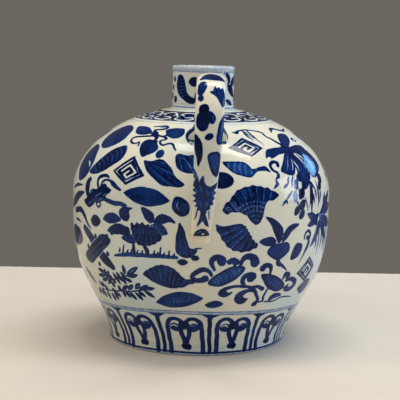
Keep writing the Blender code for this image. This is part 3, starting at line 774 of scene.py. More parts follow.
# %% Branch and lozenge
BODY_MARKS += [
    brush((19.6, 221.5, 1.4), (22, 220.4, 3.4), (24, 223.4, 2.2), (30, 224.6, 1.8), (36, 222.8, 1.8),
          (41, 219.5, 2.4), (41.4, 214.5, 2), (44.2, 210.5, 2.4), (45.8, 206, 3), (48.5, 201.5, 3)),
    brush((27, 222.5, 1.6), (27.6, 217, 2.2), (29, 212, 1.4), (30.6, 209, 0.7)),
    brush((31, 223, 1.6), (31.6, 216, 2.2), (33, 209.5, 1.2), (35, 203.5, 0.7)),
    brush((28.8, 222, 1.2), (29.5, 218, 1.4), (31.5, 212, 0.7), tone=0.5),
    brush((50.5, 219.4, 1.6), (53, 223.4, 3), (57, 224.8, 3.4), (61.5, 222.4, 3), (66.5, 219.6, 3),
          (73, 222, 2)),
    *lozenge((24, 213), (13.6, 199.6), (24.6, 191), (32.8, 199)),
    brush((63, 204.6, 1.8), (64, 207.6, 2.2), (66.4, 208, 2.2), (67, 205.4, 2), (65, 204.2, 1.6)),
]

# %% Drooping plant
BODY_MARKS += [
    outline((46, 193), (50, 192.6), (52.2, 187.5), (48.8, 179.5), (45.4, 171), (41.8, 170.4), (39, 173),
            (37.8, 175.5), (41, 182.5), grain=62, edge=0.9),
    outline((50.8, 194), (53, 188), (55.2, 180.5), (56.6, 174.5), (57, 168), (55, 163), (52, 157.6),
            (49.8, 157.4), (49, 163), (47.6, 168), (48, 174.5), (48, 181.5), (47.5, 187), grain=100,
            edge=0.9),
    outline((52.2, 198), (58.2, 200), (66.8, 198.6), (68.4, 193.5), (70.4, 189), (72, 181.5), (72, 175.5),
            (68, 170.5), (62.4, 165.6), (58.5, 167), (56.4, 174.5), (55.6, 183.5), (54, 191), (50.8, 194),
            grain=135, edge=0.9),
    # The white and pale streaks between these leaves are partly gaps left in the paint and partly a painted
    # reflection of a bright window on the glaze.
    *[white(brush(*stops)) for stops in [
        ((54.4, 191.6, 0.7), (57, 187.4, 1.8), (58.6, 183, 0.7)),
        ((48.6, 184, 0.7), (49.5, 179, 1.6), (49.8, 174, 0.7)),
        ((47.8, 186, 0.5), (46.6, 180, 1.0), (45.2, 175, 0.6)),
        ((48, 177, 0.6), (47.2, 172, 1.5), (46.2, 168, 0.7))]],
    pale(brush((60, 191, 0.6), (65, 184, 1.2), (67, 176, 0.7))),
    pale(brush((55.6, 187, 0.5), (57.4, 178, 1.0), (58, 170, 0.6))),
    pale(brush((47, 190, 0.5), (44, 182, 0.9), (41.4, 174, 0.5)), 0.4),
    outline((52.8, 214), (56.2, 216.4), (63, 215.4), (62.4, 211), (60, 206.5), (55, 201), (51, 197.5),
            (48.2, 198.5), (48.8, 203.5), (50, 209), grain=50, edge=0.9),
    outline((32, 188.5), (34.6, 196.8), (38.5, 198.4), (43.5, 199.2), (48, 200), (48.4, 194), (44.2, 192),
            (40.2, 190.5), (35.5, 187.5), (34.5, 189.5), grain=15, edge=0.9),
    brush((48.6, 200, 6), (50.8, 196, 9), (50.4, 191.6, 7), tone=1.0),
]

# %% Strands and berries under the plant
BODY_MARKS += [
    *[leaf((a - w / 5, b - w / 2), (a + w / 5, b + w / 2), w, blunt=w / 2.4, tone=0.97)
      for a, b, w in [(49, 168.5, 8), (50.3, 161.5, 8), (47.2, 153.5, 8), (47.8, 144, 7.6), (44.4, 139.6, 7),
                      (47.4, 135.4, 7), (65.4, 164, 8), (63.4, 158, 7), (53, 165, 7)]],
    *[brush((a, b, 0.8), ((a + c) / 2 + bend, (b + d) / 2, w), (c, d, 0.6), tone=t, edge=0.4)
      for a, b, c, d, bend, w, t in [
          (53.8, 164, 57.2, 156, 0.4, 3.4, None), (54.4, 165, 52.8, 140, 0.6, 3.6, None),
          (55.6, 163, 55.2, 132, -0.6, 4.0, None), (54, 156, 57, 143, 0.4, 3.0, 0.9),
          (60.2, 163, 60.8, 139, 0.4, 3.2, None), (63, 157, 62, 143, 0.4, 3, 0.75),
          (57.4, 158, 58.4, 147, 0.3, 2.8, 0.8), (68.6, 151, 66, 140, 0.2, 5, 0.85),
          (46.6, 170, 44.4, 158, 0.4, 2.6, 0.55), (44, 170, 41.8, 160, -0.4, 2.2, 0.5),
          (41.4, 169, 39.6, 162, -0.3, 2.2, 0.6), (39.8, 163, 37, 159.6, 0, 2.8, 0.85),
          (41.4, 156, 37.6, 149, 0, 2.2, 0.7), (38, 150, 35.4, 144.4, 0, 2.4, 0.75),
          (38.2, 149.4, 38.6, 146, 0, 1.8, 0.6), (45.4, 160, 46, 150, 0.4, 2, 0.5),
          (47, 158, 48.6, 150, 0.2, 1.8, 0.6), (49.6, 150, 51.6, 137, 0.4, 1.8, 0.6),
          (43.6, 148, 45.4, 144, 0, 2, 0.6)]],
    leaf((45, 166), (44, 157), 5.4, blunt=1.6, tone=0.42, edge=0.3),
    leaf((43.6, 156), (42.4, 146.6), 6, blunt=1.8, tone=0.34, edge=0.2),
    brush((37.2, 180.2, 3.8), (37.4, 182.8, 3.4), (35.2, 184, 3.2), (33.2, 181.6, 3), (33, 178.4, 3),
          (33.8, 175.6, 2.8), (35.4, 173.8, 2.4)),
    brush((35.2, 173.6, 2.4), (35.4, 170, 3.2), (33.6, 166.8, 1.2), (34, 163.4, 3.4), (32, 160, 1), tone=0.8,
          edge=0.5),
    leaf((52, 135), (61, 122.6), 8.4, blunt=1.8, bend=1),
]

# %% Spindle shell, scallop and fan shell
BODY_MARKS += [
    outline((9.6, 183.6), (11, 185.6), (15, 186), (20, 184.6), (22, 181), (23.6, 177.6), (28, 180),
            (30.4, 180), (32, 174.4), (29, 176), (25, 174.6), (22, 170.6), (19, 171), (14, 175), grain=-35,
            tone=0.76, edge=0.9),
    *bands((12.6, 180.8), (25.6, 176.6), 6.4, 6, width=1.6, bow=-1.4, most=0.03),
    outline((6.4, 161.4), (10, 161), (13, 164), (13.8, 169), (12, 173.4), (8.6, 175.4), (4, 174), (2.4, 168),
            tone=1.0),
    outline((8.6, 142.6), (9.2, 147), (11.4, 152), (13.6, 157.6), (17, 161.4), (22, 163.2), (27.6, 161.8),
            (31, 158.8), (34.2, 154.6), (31.4, 150), (29, 149.6), (27.4, 146), (26.6, 138), (25.2, 131.6),
            (23, 129), (20.8, 132.4), (18.4, 138), (13.6, 141), (10.6, 139.4), hinge=(23, 124), ribs=5.2,
            rows=(9.5, 13.5, 17.5, 21.5, 25.5), lobes=0.8, tone=0.95, edge=0.9),
    *[pale(brush((a, b, 0.7), (a + 1.6, b + 1.6, 0.7), (a + 2.4, b - 0.6, 0.7), (a + 0.6, b - 1.2, 0.6)))
      for a, b in [(9.6, 143.4), (12, 147.6), (13.6, 143.2)]],
    outline((5.8, 130.6), (9, 130), (12, 131), (15.6, 131.6), (18.6, 129.4), (20.4, 123), (22, 117),
            (24.4, 112.8), (23, 108.6), (20, 106.6), (17, 106.4), (13, 108.6), (10, 114), (7.4, 121.4),
            hinge=(26, 136), ribs=5.4, lobes=0.9, tone=0.95, edge=0.8),
]

# %% Radish, small leaves and curls
BODY_MARKS += [
    outline((29.2, 104), (29.6, 108.4), (32, 112), (35.4, 112.6), (39, 112.6), (40.8, 109), (40.8, 104.6),
            (38.6, 100.8), (36, 98.2), (34, 97.6), (31.6, 99.8), grain=-60, tone=0.76, edge=0.9),
    outline((24.8, 114.6), (27.6, 118.4), (31, 118.6), (33.2, 114.4), (31.4, 111), (28, 111.4), tone=0.86),
    outline((27.6, 136), (31, 134.6), (34, 130.4), (36.4, 124.6), (36.2, 117), (34.6, 112.6), (33, 117),
            (31.2, 124), (29.6, 130.4), grain=105, tone=0.95, gap=0.5),
    outline((36, 112.6), (38.8, 115.8), (41.6, 122), (46, 126.8), (43, 128.6), (39.6, 126), (36.8, 120),
            grain=60, tone=0.95, gap=0.4),
    brush((34.4, 99, 4), (35.8, 94.4, 3.4), (38.4, 91, 2.4), (41.2, 86.6, 0.8), tone=0.75, edge=0.6),
    brush((34.8, 98, 3), (34.6, 94, 2.2), (36, 91, 1)),
    outline((45, 110), (48.6, 109), (48.8, 105), (46.6, 98), (43.4, 95.4), (41.8, 97), (42.4, 103), grain=70,
            edge=0.9),
    curl(52.8, 115, 6, 200, -330, 4.2),
    brush((53.4, 109.4, 3.8), (52.2, 104, 3.6), (50.6, 99, 2), (48.4, 91.6, 0.7), tone=0.8, edge=0.5),
    leaf((52, 124.8), (61.5, 132.4), 8, blunt=1.5, bend=-1),
    *lozenge((56.4, 95.4), (48.8, 81.8), (58, 71), (63, 84.4)),
    outline((54, 65), (57, 60), (61, 57), (65, 62), (65, 70), (60, 72.5), grain=40),
]

# %% Second drooping plant at the right edge
BODY_MARKS += [
    leaf((62, 132), (80, 137), 10, blunt=2, bend=1, ribs=(0.2, 0.9)),
    leaf((63, 131), (76, 150), 10, blunt=2, ribs=(0.2, 0.9)),
    leaf((63, 130), (80, 120), 10, blunt=2, bend=-1.5, ribs=(0.2, 0.9), gap=0.6),
    leaf((63, 130), (72, 108), 9, blunt=2, bend=-1, ribs=(0.2, 0.9), gap=0.6),
    leaf((64, 130), (55.6, 106), 8, blunt=1.4, bend=2, tone=0.8, ribs=(0.2, 0.9), gap=0.6),
    *[brush((a, 118, 1), (a + 0.6, 108, 3), (a - 0.4, 97 + drop, 0.7), tone=0.75, edge=0.5)
      for a, drop in [(60, 5), (62.6, 0), (65.6, 2), (69, 0), (72.5, 4)]],
]

# %% Lotus pods on their scroll
LOTUS = [
    outline((3.6, 78), (4, 81), (7, 87), (11, 92), (15, 95), (18.6, 94), (19.2, 91), (17, 85), (13, 79),
            (9, 75.4), (5, 76), grain=52, tone=0.74, edge=1.0),
    *bands((6.4, 78.8), (16.2, 91.4), 4.4, 9, width=1.0, bow=1.0, most=0.06),
    brush((5, 86.5, 2.6), (3.6, 90.4, 3.6), (1.2, 91.6, 4.4), (-1.6, 88.8, 4.4), (-3.2, 85, 4),
          (-2, 81.6, 4.4), (0.8, 81.6, 5), (2.4, 83.4, 6)),
    brush((6, 91, 2.4), (4.8, 96.5, 4), (5.6, 101, 5), (7.8, 102.4, 5.6), (9.2, 100.4, 7.2), (9, 98.8, 7.8)),
    brush((12.4, 98, 4.8), (14, 100, 4.4), (15.8, 97.8, 4.8)), brush((14.2, 98, 4), (14.6, 95, 2.4)),
    brush((17, 94.5, 2.6), (18, 100, 4.2), (20.4, 102.4, 5.4), (22.8, 100.4, 7.6), (23.4, 97, 8.8)),
    brush((20.2, 75, 3), (19, 80, 4.2), (19.6, 84.4, 4.4), (21.8, 85.6, 5.4), (23.2, 83.8, 7.6),
          (22.8, 82.6, 8)),
    brush((20, 74.6, 2.6), (15, 75, 2.8), (12, 73.8, 3.6), (10.4, 71.2, 4.6), (9.8, 69, 5.2), (10.4, 67.6, 5),
          (12, 67, 4.4), (13.4, 67.8, 3), (14.6, 69.2, 1.6)),
    brush((10.6, 69.4, 5), (11.8, 68.4, 4)),
    brush((19.6, 74.6, 2.6), (22.8, 74.2, 2.8), (25.4, 71, 3), (27.2, 65.4, 3), (28.6, 60, 3), (28, 57, 4),
          (27.5, 55.2, 5.6)),
    brush((26.4, 68, 2.2), (24.4, 70.2, 3.2), (22.2, 70.6, 3.8), (20.2, 68.8, 5), (18.6, 65.8, 6.6),
          (18.6, 62.6, 8), (19.8, 60.4, 8), (21.2, 59.8, 5.6), (22.4, 61.2, 3.4)),
    outline((27.2, 83.8), (29.2, 85.6), (33, 84.6), (37.8, 80), (41.4, 74), (42, 69), (38.4, 66.6),
            (33.2, 70), (29.8, 76), grain=-45, tone=0.84, edge=1.1),
    *bands((30.6, 81.4), (39.4, 70.6), 3.8, 7, width=1.0, bow=1.0, most=0.06),
    brush((31.8, 85.5, 2.2), (32, 90.8, 3.8), (30.6, 93.6, 4.2), (28.6, 93.2, 5), (27.8, 91.2, 6)),
    brush((40, 79.6, 2.6), (41, 83.4, 4.4), (42.8, 81.6, 5), (42.4, 79.4, 3)),
    brush((42, 76.5, 2), (45, 77.6, 4), (48.4, 74.6, 5), (49, 70, 5), (46.4, 66.6, 5), (43.4, 68.4, 4.4),
          (44.4, 71.5, 2.4)),
    brush((24.6, 74, 2), (27.2, 73.8, 3.4), (29.4, 71.4, 4.4)),
    brush((32.4, 70, 2), (31.4, 63, 2.2), (32, 58, 2), (29, 57, 1.6)),
    brush((33, 56.4, 1.4), (38, 55.6, 1.6), (43, 58.6, 1.6), (47, 58.8, 1.4), (51, 57, 1)),
    outline((35, 56.4), (35.2, 61), (37.6, 64.2), (41.4, 63.8), (42.4, 61), (40, 59.6), (37.6, 58)),
    pale(brush((36.4, 59, 0.6), (40.6, 62.4, 0.9))),
    leaf((3, 56), (11.4, 57), 8, blunt=1.6),
]
BODY_MARKS += [mark if mark["tone"] or "pale" in mark else {**mark, "tone": 0.86} for mark in LOTUS]
print(len(BODY_MARKS), "marks on the body")

# %% [markdown]
# ## Fillers at the sides
# The list above covers what one sees from the handle's side and is laid down twice, half a turn apart. A
# few more leaves, dots and a spray fill the strips between the two.

# %% Side fillers and the strap's root
BODY_MARKS += [
    leaf((-88, 196), (-80, 214), 12, blunt=2.5), leaf((-97, 176), (-84, 186), 12, blunt=2.5, tone=0.8),
    leaf((79, 205), (88, 216), 11, blunt=2.5), leaf((92, 192), (81, 203), 10, blunt=2),
    brush((79, 158, 1.0), (83, 168, 1.2), (90, 180, 1.0)),
    *fern((79.6, 161, 76.6, 168), (81, 164, 85, 168), (82, 168, 79, 175), (84.4, 170.6, 89, 174),
          (85, 173, 83, 181), (88, 177, 93, 179.6), (89, 179, 88, 187)),
    leaf((-94, 130), (-82, 146), 15, blunt=2.5, ribs=(0.9, 0.3)), leaf((-93, 118), (-84, 124), 9, blunt=3),
    brush((-97, 152, 2), (-92, 160, 4), (-86, 163, 3), (-83, 158, 5)),
    outline((82, 112), (84, 122), (90, 126), (96, 121), (97, 112), (93, 105), (87, 104), hinge=(90, 96),
            ribs=9, rows=(12, 18), tone=0.9),
    leaf((84, 150), (94, 142), 10, blunt=3), leaf((-88, 92), (-76, 86), 11, blunt=3, tone=0.8),
    brush((-87, 60, 1.0), (-79, 66, 1.2), (-70, 72, 1.0)),
    *fern((-85, 61, -84.6, 68), (-82.6, 63, -79, 58), (-81, 65, -80.4, 73), (-78.4, 67, -74.6, 63),
          (-76.6, 68.4, -76, 76), (-73.6, 70.4, -69, 67)),
    leaf((73, 78), (86, 86), 12, blunt=2.5), brush((76, 68, 2), (82, 71, 4), (88, 66, 3), (86, 61, 5)),
    leaf((88, 92), (98, 98), 8, blunt=2), leaf((-99, 104), (-90, 100), 8, blunt=2.5),
    outline((-5.5, 226), (-8.4, 225), (-10.2, 219), (-9.6, 212), (-7.6, 206), (-5, 202.6), (-4, 206),
            tone=0.6, edge=1.1),
    outline((12.5, 214), (13.4, 208), (12, 204.6), (9, 205), (9, 212), tone=0.7, edge=1.0),
    leaf((2.6, 207), (2.7, 214.5), 10, blunt=3.4, tone=0.95),
]

# %% [markdown]
# ## Borders
# Lotus panels stand round the foot, thirteen of them, and white scrolls on a dark band run round the
# shoulder. The real pot's foot is not quite true to its belly, so its border dips at both sides: heights
# there are stretched by the square of the sine of the place round the pot. The panels also lean a little.

# %% Lotus panels of the foot
PANELS = 13
FIRST_PANEL = -7.8
PANEL_LEAN = 0.07
BORDER_TOP = 47.5
BORDER_DIP = 7.0


def panel(middle):
    """One panel: two arches that meet in a cusp, curls with round heads, a stem with a drop, a divider."""
    def line(s, *stops, tone=0.86):
        leaning = [(middle + s * a + PANEL_LEAN * (36 - b), b, w) for a, b, w in stops]
        return brush(*leaning, tone=tone, edge=0.6)

    def upright(*stops):
        return [(middle + a, *rest) for a, *rest in stops]

    marks = []
    for s in (-1, 1):
        marks += [
            line(s, (9.7, 3.4, 4.2), (9.7, 16, 4.0), (9.5, 28, 4.0), (8.8, 34.4, 4.0), (6.6, 38.8, 4.0),
                 (3.8, 39.4, 4.0), (1.5, 36.6, 4.0), (1.1, 32, 4.0)),
            line(s, (1.5, 34, 4.0), (2.3, 28, 4.0), (2.3, 23, 4.0), (1.2, 16.4, 4.0), (0.3, 11, 3.8)),
            line(s, (2.2, 28.4, 3.8), (4.2, 26.8, 4.8), (5.6, 28.8, 7.4), (5.4, 30.4, 7.8)),
        ]
    side = 180 / PANELS
    return marks + [
        white(brush(*upright((-7.0, 31.0, 0.9), (-4.8, 32.4, 1.6), (-3.3, 30.2, 1.0)))),
        pale(brush(*upright((3.5, 30.8, 0.8), (5.0, 32.2, 1.1), (6.8, 31.0, 0.8))), 0.5),
        line(1, (0, 36, 3.0), (0, 28.6, 3.0)),
        line(1, (-0.9, 9.2, 6), (0.9, 9.0, 6.2), tone=1.0),
        line(1, (side, 3.4, 3.4), (side, 20, 3.5), (side, 38, 3.8), tone=0.92),
        outline(*upright((side - 4.8, 44.8), (side - 1.3, 41), (side - 1.0, 36), (side + 1.0, 36),
                         (side + 1.3, 41), (side + 4.8, 44.8)), steps=1),
    ]


FOOT_MARKS = [
    ring(1.2, 1.5, tone=0.3),
    *[mark for k in range(PANELS) for mark in panel(FIRST_PANEL + k * 360 / PANELS)],
    ring(46.8, 2.6, tone=0.22), ring(48.2, 0.9, tone=0.6), ring(45.2, 0.9, tone=0.56), ring(3.1, 1.9),
]


def dipped(canvas):
    """Height in the border's own scale: stretched towards the pot's two sides."""
    dip = BORDER_DIP * np.sin(np.radians(canvas["east"])) ** 2 / BORDER_TOP
    return canvas["up"] * (1 + dip * np.clip(2 - canvas["up"] / BORDER_TOP, 0, 1))


print(PANELS, "panels,", len(FOOT_MARKS), "marks")

# %% Scrolls of the shoulder
SCROLLS = 16
FIRST_SCROLL = 6


def scroll(middle):
    """One white scroll on the dark band: a loop below, a curl above it, and a comma between neighbours."""
    strokes = [
        [(-7.6, 246.6, 1.6), (-8.8, 243.6, 2.0), (-3.4, 241.6, 2.1), (3.4, 241.8, 2.1), (7.8, 244.2, 2.0),
         (6.2, 247.2, 1.9), (0, 247.2, 1.5)],
        [(8.6, 250.4, 1.6), (9.4, 254.6, 2.1), (4, 258.8, 2.2), (-3, 258.4, 2.2), (-6.6, 254.8, 2.0),
         (-2.4, 251.6, 1.7)],
        [(-12.4, 256.6, 1.2), (-10.6, 251.6, 1.9), (-8.4, 249.2, 1.4)]]
    return [white(brush(*[(middle + a, b, w) for a, b, w in stroke])) for stroke in strokes] \
        + [white(leaf((middle + 10.6, 240.8), (middle + 12, 240.8), 1.9, blunt=0.8))]


SHOULDER_MARKS = [
    ring(251.2, 22.4, tone=0.97),
    *[mark for k in range(SCROLLS) for mark in scroll(FIRST_SCROLL + k * 360 / SCROLLS)],
    ring(239.2, 1.4), ring(234.6, 0.8, tone=0.3), ring(262.6, 1.0, tone=0.9),
]
print(SCROLLS, "scrolls,", len(SHOULDER_MARKS), "marks")

# %% [markdown]
# ## Neck, strap and spout
# The neck holds a striped shell and leaves between lines. The strap is painted like a vine that hangs
# down it: a crescent on the crest, a tulip, a four-lobed flower, leaves, a tuft and a half-moon above the
# bare tip.

# %% Marks of the neck
NECK_MARKS = [
    outline((-56.4, 240), (-51, 244.2), (-41, 243.8), (-34.4, 237.5), (-31.4, 229.6), (-25, 226), (-17, 224),
            (-16.6, 219.4), (-27, 219.6), (-40, 222.6), (-50, 225.6), (-56.4, 231), grain=20, tone=1.0),
    *bands((-46, 240.6), (-44, 226), 5.4, 6, width=0.7, bow=0.8, radius=NECK_RADIUS, most=0.1),
    outline((-27, 238), (-24, 241.8), (-17, 243.4), (-10, 242.6), (-7, 239), (-11, 236), (-19, 234.8),
            grain=60, tone=1.0),
    leaf((-13, 221), (-9, 232), 4.5, blunt=1, tone=0.9),
    leaf((-69, 239.4), (-63.4, 242), 5, blunt=1.6), leaf((-75, 231), (-69.5, 235.4), 4.6, blunt=1.5),
    leaf((-65.4, 222), (-58.6, 223), 6, blunt=2.4), leaf((-84, 222), (-74, 227), 5, blunt=1.4),
    brush((42, 246, 2), (48, 245.4, 4), (53.4, 243, 5.4), (55, 239.6, 4), (51, 237.4, 1.4), tone=0.95),
    leaf((62, 235.6), (83, 243), 7.4, blunt=2.6, tone=0.95),
    leaf((52, 236), (77, 225.4), 7.6, blunt=2.2, tone=0.95),
    leaf((47, 222.4), (66, 218.2), 4.4, blunt=1.4), leaf((31, 222), (38, 232), 5.4, blunt=1.2),
    leaf((78, 222), (90, 228), 5, blunt=1.6), leaf((88, 238), (98, 244), 6, blunt=1.6, tone=0.8),
    brush((20, 219, 1.2), (25, 224, 3), (23, 231, 3.4), (17, 234, 2)),
    leaf((14, 237), (30, 241), 6, blunt=1.6),
    leaf((-98, 236), (-89, 242), 6, blunt=1.4),
]
# The soft grey ring at 248 mm, just under the lip, is partly a cobalt line and partly painted shadow cast by
# the lip.
NECK_LINES_AND_LIP_SHADOW = [ring(215.4, 1.1, tone=0.42), ring(218.4, 0.7, tone=0.2), ring(248.0, 1.6, tone=0.28)]

# %% Marks of the strap
STRAP_MARKS = [
    *[outline(*[(s * a, b) for a, b in [
        (17.6, 9), (18, 15), (15.8, 22), (12.4, 26), (9.6, 24), (9.4, 17), (10, 9)]],
              tone=tone, edge=1.2) for s, tone in [(-1, 0.55), (1, 0.75)]],
    outline((-8.6, 92.4), (-5, 87.4), (0, 85.4), (5.4, 86.8), (9.6, 91.2), (10.8, 95), (7, 96.6), (0.6, 97),
            (-5, 96), (-9.2, 95), grain=0, tone=0.9),
    outline((-9.6, 99), (-6, 98), (-3.6, 101), (-3.8, 105.4), (-6.4, 110), (-9.6, 109.6), (-10.8, 104),
            grain=95),
    leaf((-7.6, 110), (-7.4, 115.4), 4.6, blunt=1.8),
    outline((1.2, 104.6), (2.4, 106.6), (3.5, 103), (5, 105.2), (6.8, 103), (8, 105), (9.8, 103.2),
            (11.2, 108), (11.2, 116), (9.4, 119.4), (7.4, 116), (5, 112.4), (2.6, 110.8), (-0.6, 109),
            (0.4, 107.6), (2.2, 107.8), steps=2, hinge=(8, 124), ribs=6, tone=0.88),
    outline((-5, 117.6), (-2, 118.6), (-1, 122), (-2.6, 126.6), (-6, 127.4), (-8.8, 124.6), (-8.6, 119.6),
            grain=80, tone=1.0),
    outline((-9.6, 125), (-5, 124), (-0.8, 126), (0.4, 131), (-1.6, 136.8), (-5.4, 138.6), (-9, 135.8),
            (-10.4, 130.6), grain=95, tone=1.0),
    outline((-0.8, 123.8), (2, 124), (4.4, 126.6), (4.8, 130), (2.8, 133), (0.4, 132), (-0.2, 128), grain=60,
            tone=0.95, edge=0.9),
    pale(brush((0.8, 125.6, 0.5), (2.8, 128.4, 0.8), (2.6, 131, 0.5)), 0.15),
    leaf((-2.8, 142.6), (3.8, 142.2), 5.4, blunt=2.2, tone=0.98),
    outline((11.4, 125), (12.2, 134), (11.8, 146), (8.2, 148.6), (6.4, 146), (6.8, 138), (8.8, 130), grain=95,
            tone=0.66, edge=0.9),
    outline((-10.8, 141), (-8.4, 141.4), (-5.2, 146.6), (-4, 153), (-4.8, 160), (-6.6, 165.6), (-8.6, 160),
            (-10.6, 152), grain=85, tone=1.0),
    outline((0.4, 155.6), (4, 153.6), (9.4, 154.8), (10.6, 162), (10.2, 170), (8.4, 174), (5.2, 171),
            (2, 165), (0, 159.4), grain=75, tone=0.72, edge=1.1),
    leaf((-10.6, 168), (-6, 178), 3.6, blunt=1.2, tone=0.5),
]

# %% Tuft, half-moon and underside of the strap
STRAP_MARKS += [
    outline((-10.4, 176), (-9, 178.6), (-7.4, 175), (-5, 178.8), (-3.6, 174), (-1.8, 172.4), (-0.6, 177.6),
            (1.6, 180.2), (4.8, 181.2), (7.8, 179.8), (10, 178.2), (9.2, 183), (7.6, 184.6), (9.4, 187.2),
            (7.2, 189.2), (8.8, 192.4), (6.4, 193.8), (7.4, 197.6), (4.6, 197.8), (5.4, 201.4), (3, 202.2),
            (2.4, 206), (0.4, 204.8), (-1.6, 206.4), (-2.6, 202.4), (-5.4, 203.8), (-4.6, 199.4),
            (-7.8, 200.4), (-6.2, 196.2), (-9.2, 195.4), (-6.8, 192.2), (-9.8, 190.4), (-6.8, 187.8),
            (-10.4, 185.8), (-7.8, 183.4), (-10.6, 181.6), (-8.6, 179.4), steps=1, grain=80, tone=0.84,
            edge=0.4),
    *[brush((a, b, 1.4), (c, d, 2.6), (e, f, 1.0), tone=1.0, edge=0.2) for a, b, c, d, e, f in [
        (-6.8, 179, -4.4, 185, -5.6, 191), (-1.6, 178, -0.6, 187, -2.6, 196), (4, 183, 3.4, 189, 5, 195),
        (1.2, 191, 0.4, 198, 1, 204), (-3.4, 192, -2.6, 198, -4.6, 202)]],
    *[pale(brush((a, b, 0.8), ((a + c) / 2 + 0.9, (b + d) / 2, 1.8), (c, d, 0.8)), 0.02)
      for a, b, c, d in [(-4.4, 181, -3, 187), (0.6, 184, 2.6, 189), (5, 185, 6.4, 190), (-7, 184, -7.6, 188),
                         (-4.6, 193, -2.8, 198), (2, 194, 1.4, 200)]],
    *[white(brush((a, b, 1.4), (a + 0.5, b + 1.2, 1.2))) for a, b in [(8.4, 185), (8, 190.4)]],
    brush((-5.2, 204.6, 1.2), (-5.8, 208.6, 1.0), (-7, 212.6, 0.5), tone=0.6),
    brush((4.4, 204, 1), (5.8, 212, 0.5), tone=0.5),
    outline((-0.8, 203), (1.2, 203), (3.4, 210), (5.6, 219.8), (2.4, 217.4), (0.4, 213.4), (-1.6, 216.4),
            (-4, 219.4), (-2.6, 211), hinge=(0.2, 198), ribs=9),
    outline((-6.4, 231.8), (-5.2, 226.6), (-2.6, 222.8), (0.4, 221.4), (3.8, 223.4), (5.6, 227), (6.4, 232),
            (3.4, 231.2), (0, 230.8), (-3.4, 231.2), steps=3, tone=1.0),
    # The small white spot inside the half-moon is a painted highlight, a glint left white in the dark paint.
    white(leaf((0.4, 228.2), (2.6, 227.6), 2.6, blunt=1)), pale(brush((-3.4, 227, 0.8), (0, 224.6, 1.1))),
    leaf((-6, 66), (5, 76), 9, blunt=2),
    leaf((-8, 50), (-2, 62), 7, blunt=2),
    leaf((4, 48), (7, 64), 6, blunt=2),
    leaf((-5, 30), (5, 44), 8, blunt=2),
]

# %% Marks of the spout
SPOUT_MARKS = [
    ring(30, 1.4, tone=0.9), ring(32.6, 0.8, tone=0.4), ring(126.5, 1.5, tone=0.95), ring(124, 0.8, tone=0.4),
]
VINE = [(-20, 38, 1.4), (22, 52, 1.8), (-24, 70, 1.8), (26, 90, 1.8), (-22, 106, 1.6), (12, 120, 1)]
VINE_LEAVES = [(-30, 46, -2, 56, 7, 1.6), (30, 58, 12, 72, 7.5, 1.6), (-34, 76, -6, 88, 6.6, 1.6),
               (38, 94, 20, 108, 5.6, 1.4), (-36, 112, -8, 118, 4.6, 1.2), (40, 40, 14, 44, 6, 1.5)]
LONE_LEAVES = [(-26, 36, 18, 48, 9, 2), (24, 62, -12, 76, 8, 2), (-26, 92, 20, 102, 6, 1.6)]
for side, vine, leaves in [(-90, VINE, VINE_LEAVES), (90, VINE, VINE_LEAVES), (0, (), LONE_LEAVES),
                           (180, (), LONE_LEAVES)]:
    SPOUT_MARKS += [brush(*[(side + a, b, w) for a, b, w in vine])] if vine else []
    SPOUT_MARKS += [leaf((side + a, b), (side + c, d), width, blunt=blunt)
                    for a, b, c, d, width, blunt in leaves]
print(len(NECK_MARKS), len(STRAP_MARKS), len(SPOUT_MARKS), "marks on neck, strap and spout")

# %% [markdown]
# ## Underglaze cobalt porcelain
# The body is white porcelain under a clear glossy glaze, slightly warm where the kiln's air was rich and
# bluish where glaze lies thick. Cobalt oxide bleeds a little into the glaze: a thin wash is a soft blue
# with streaks left by the brush, and a loaded stroke or a pool along an outline goes nearly black. The
# glaze itself is glass, so it has the index of glass, low roughness, a faint swell and small pinholes.

# %% Colours of cobalt
COBALT = [(0.0, "#c2c6c0"), (0.16, "#a5b0ba"), (0.40, "#45689a"), (0.58, "#184583"), (0.76, "#082a66"),
          (0.90, "#031543"), (1.0, "#010a25")]


def ramp(tree, factor, stops):
    """A colour ramp from (place, hex) stops."""
    node = add(tree, "ShaderNodeValToRGB", {"Fac": factor})
    elements = node.color_ramp.elements
    while len(elements) < len(stops):
        elements.new(0.5)
    for element, (place, hex_value) in zip(elements, stops):
        element.position = place
        element.color = colour(hex_value)
    return node.outputs["Color"]


# %% Painted porcelain
IRON_SPECK = "#4a3a2c"
GLASS_INDEX, GLAZE_SHINE = 1.5, 0.21


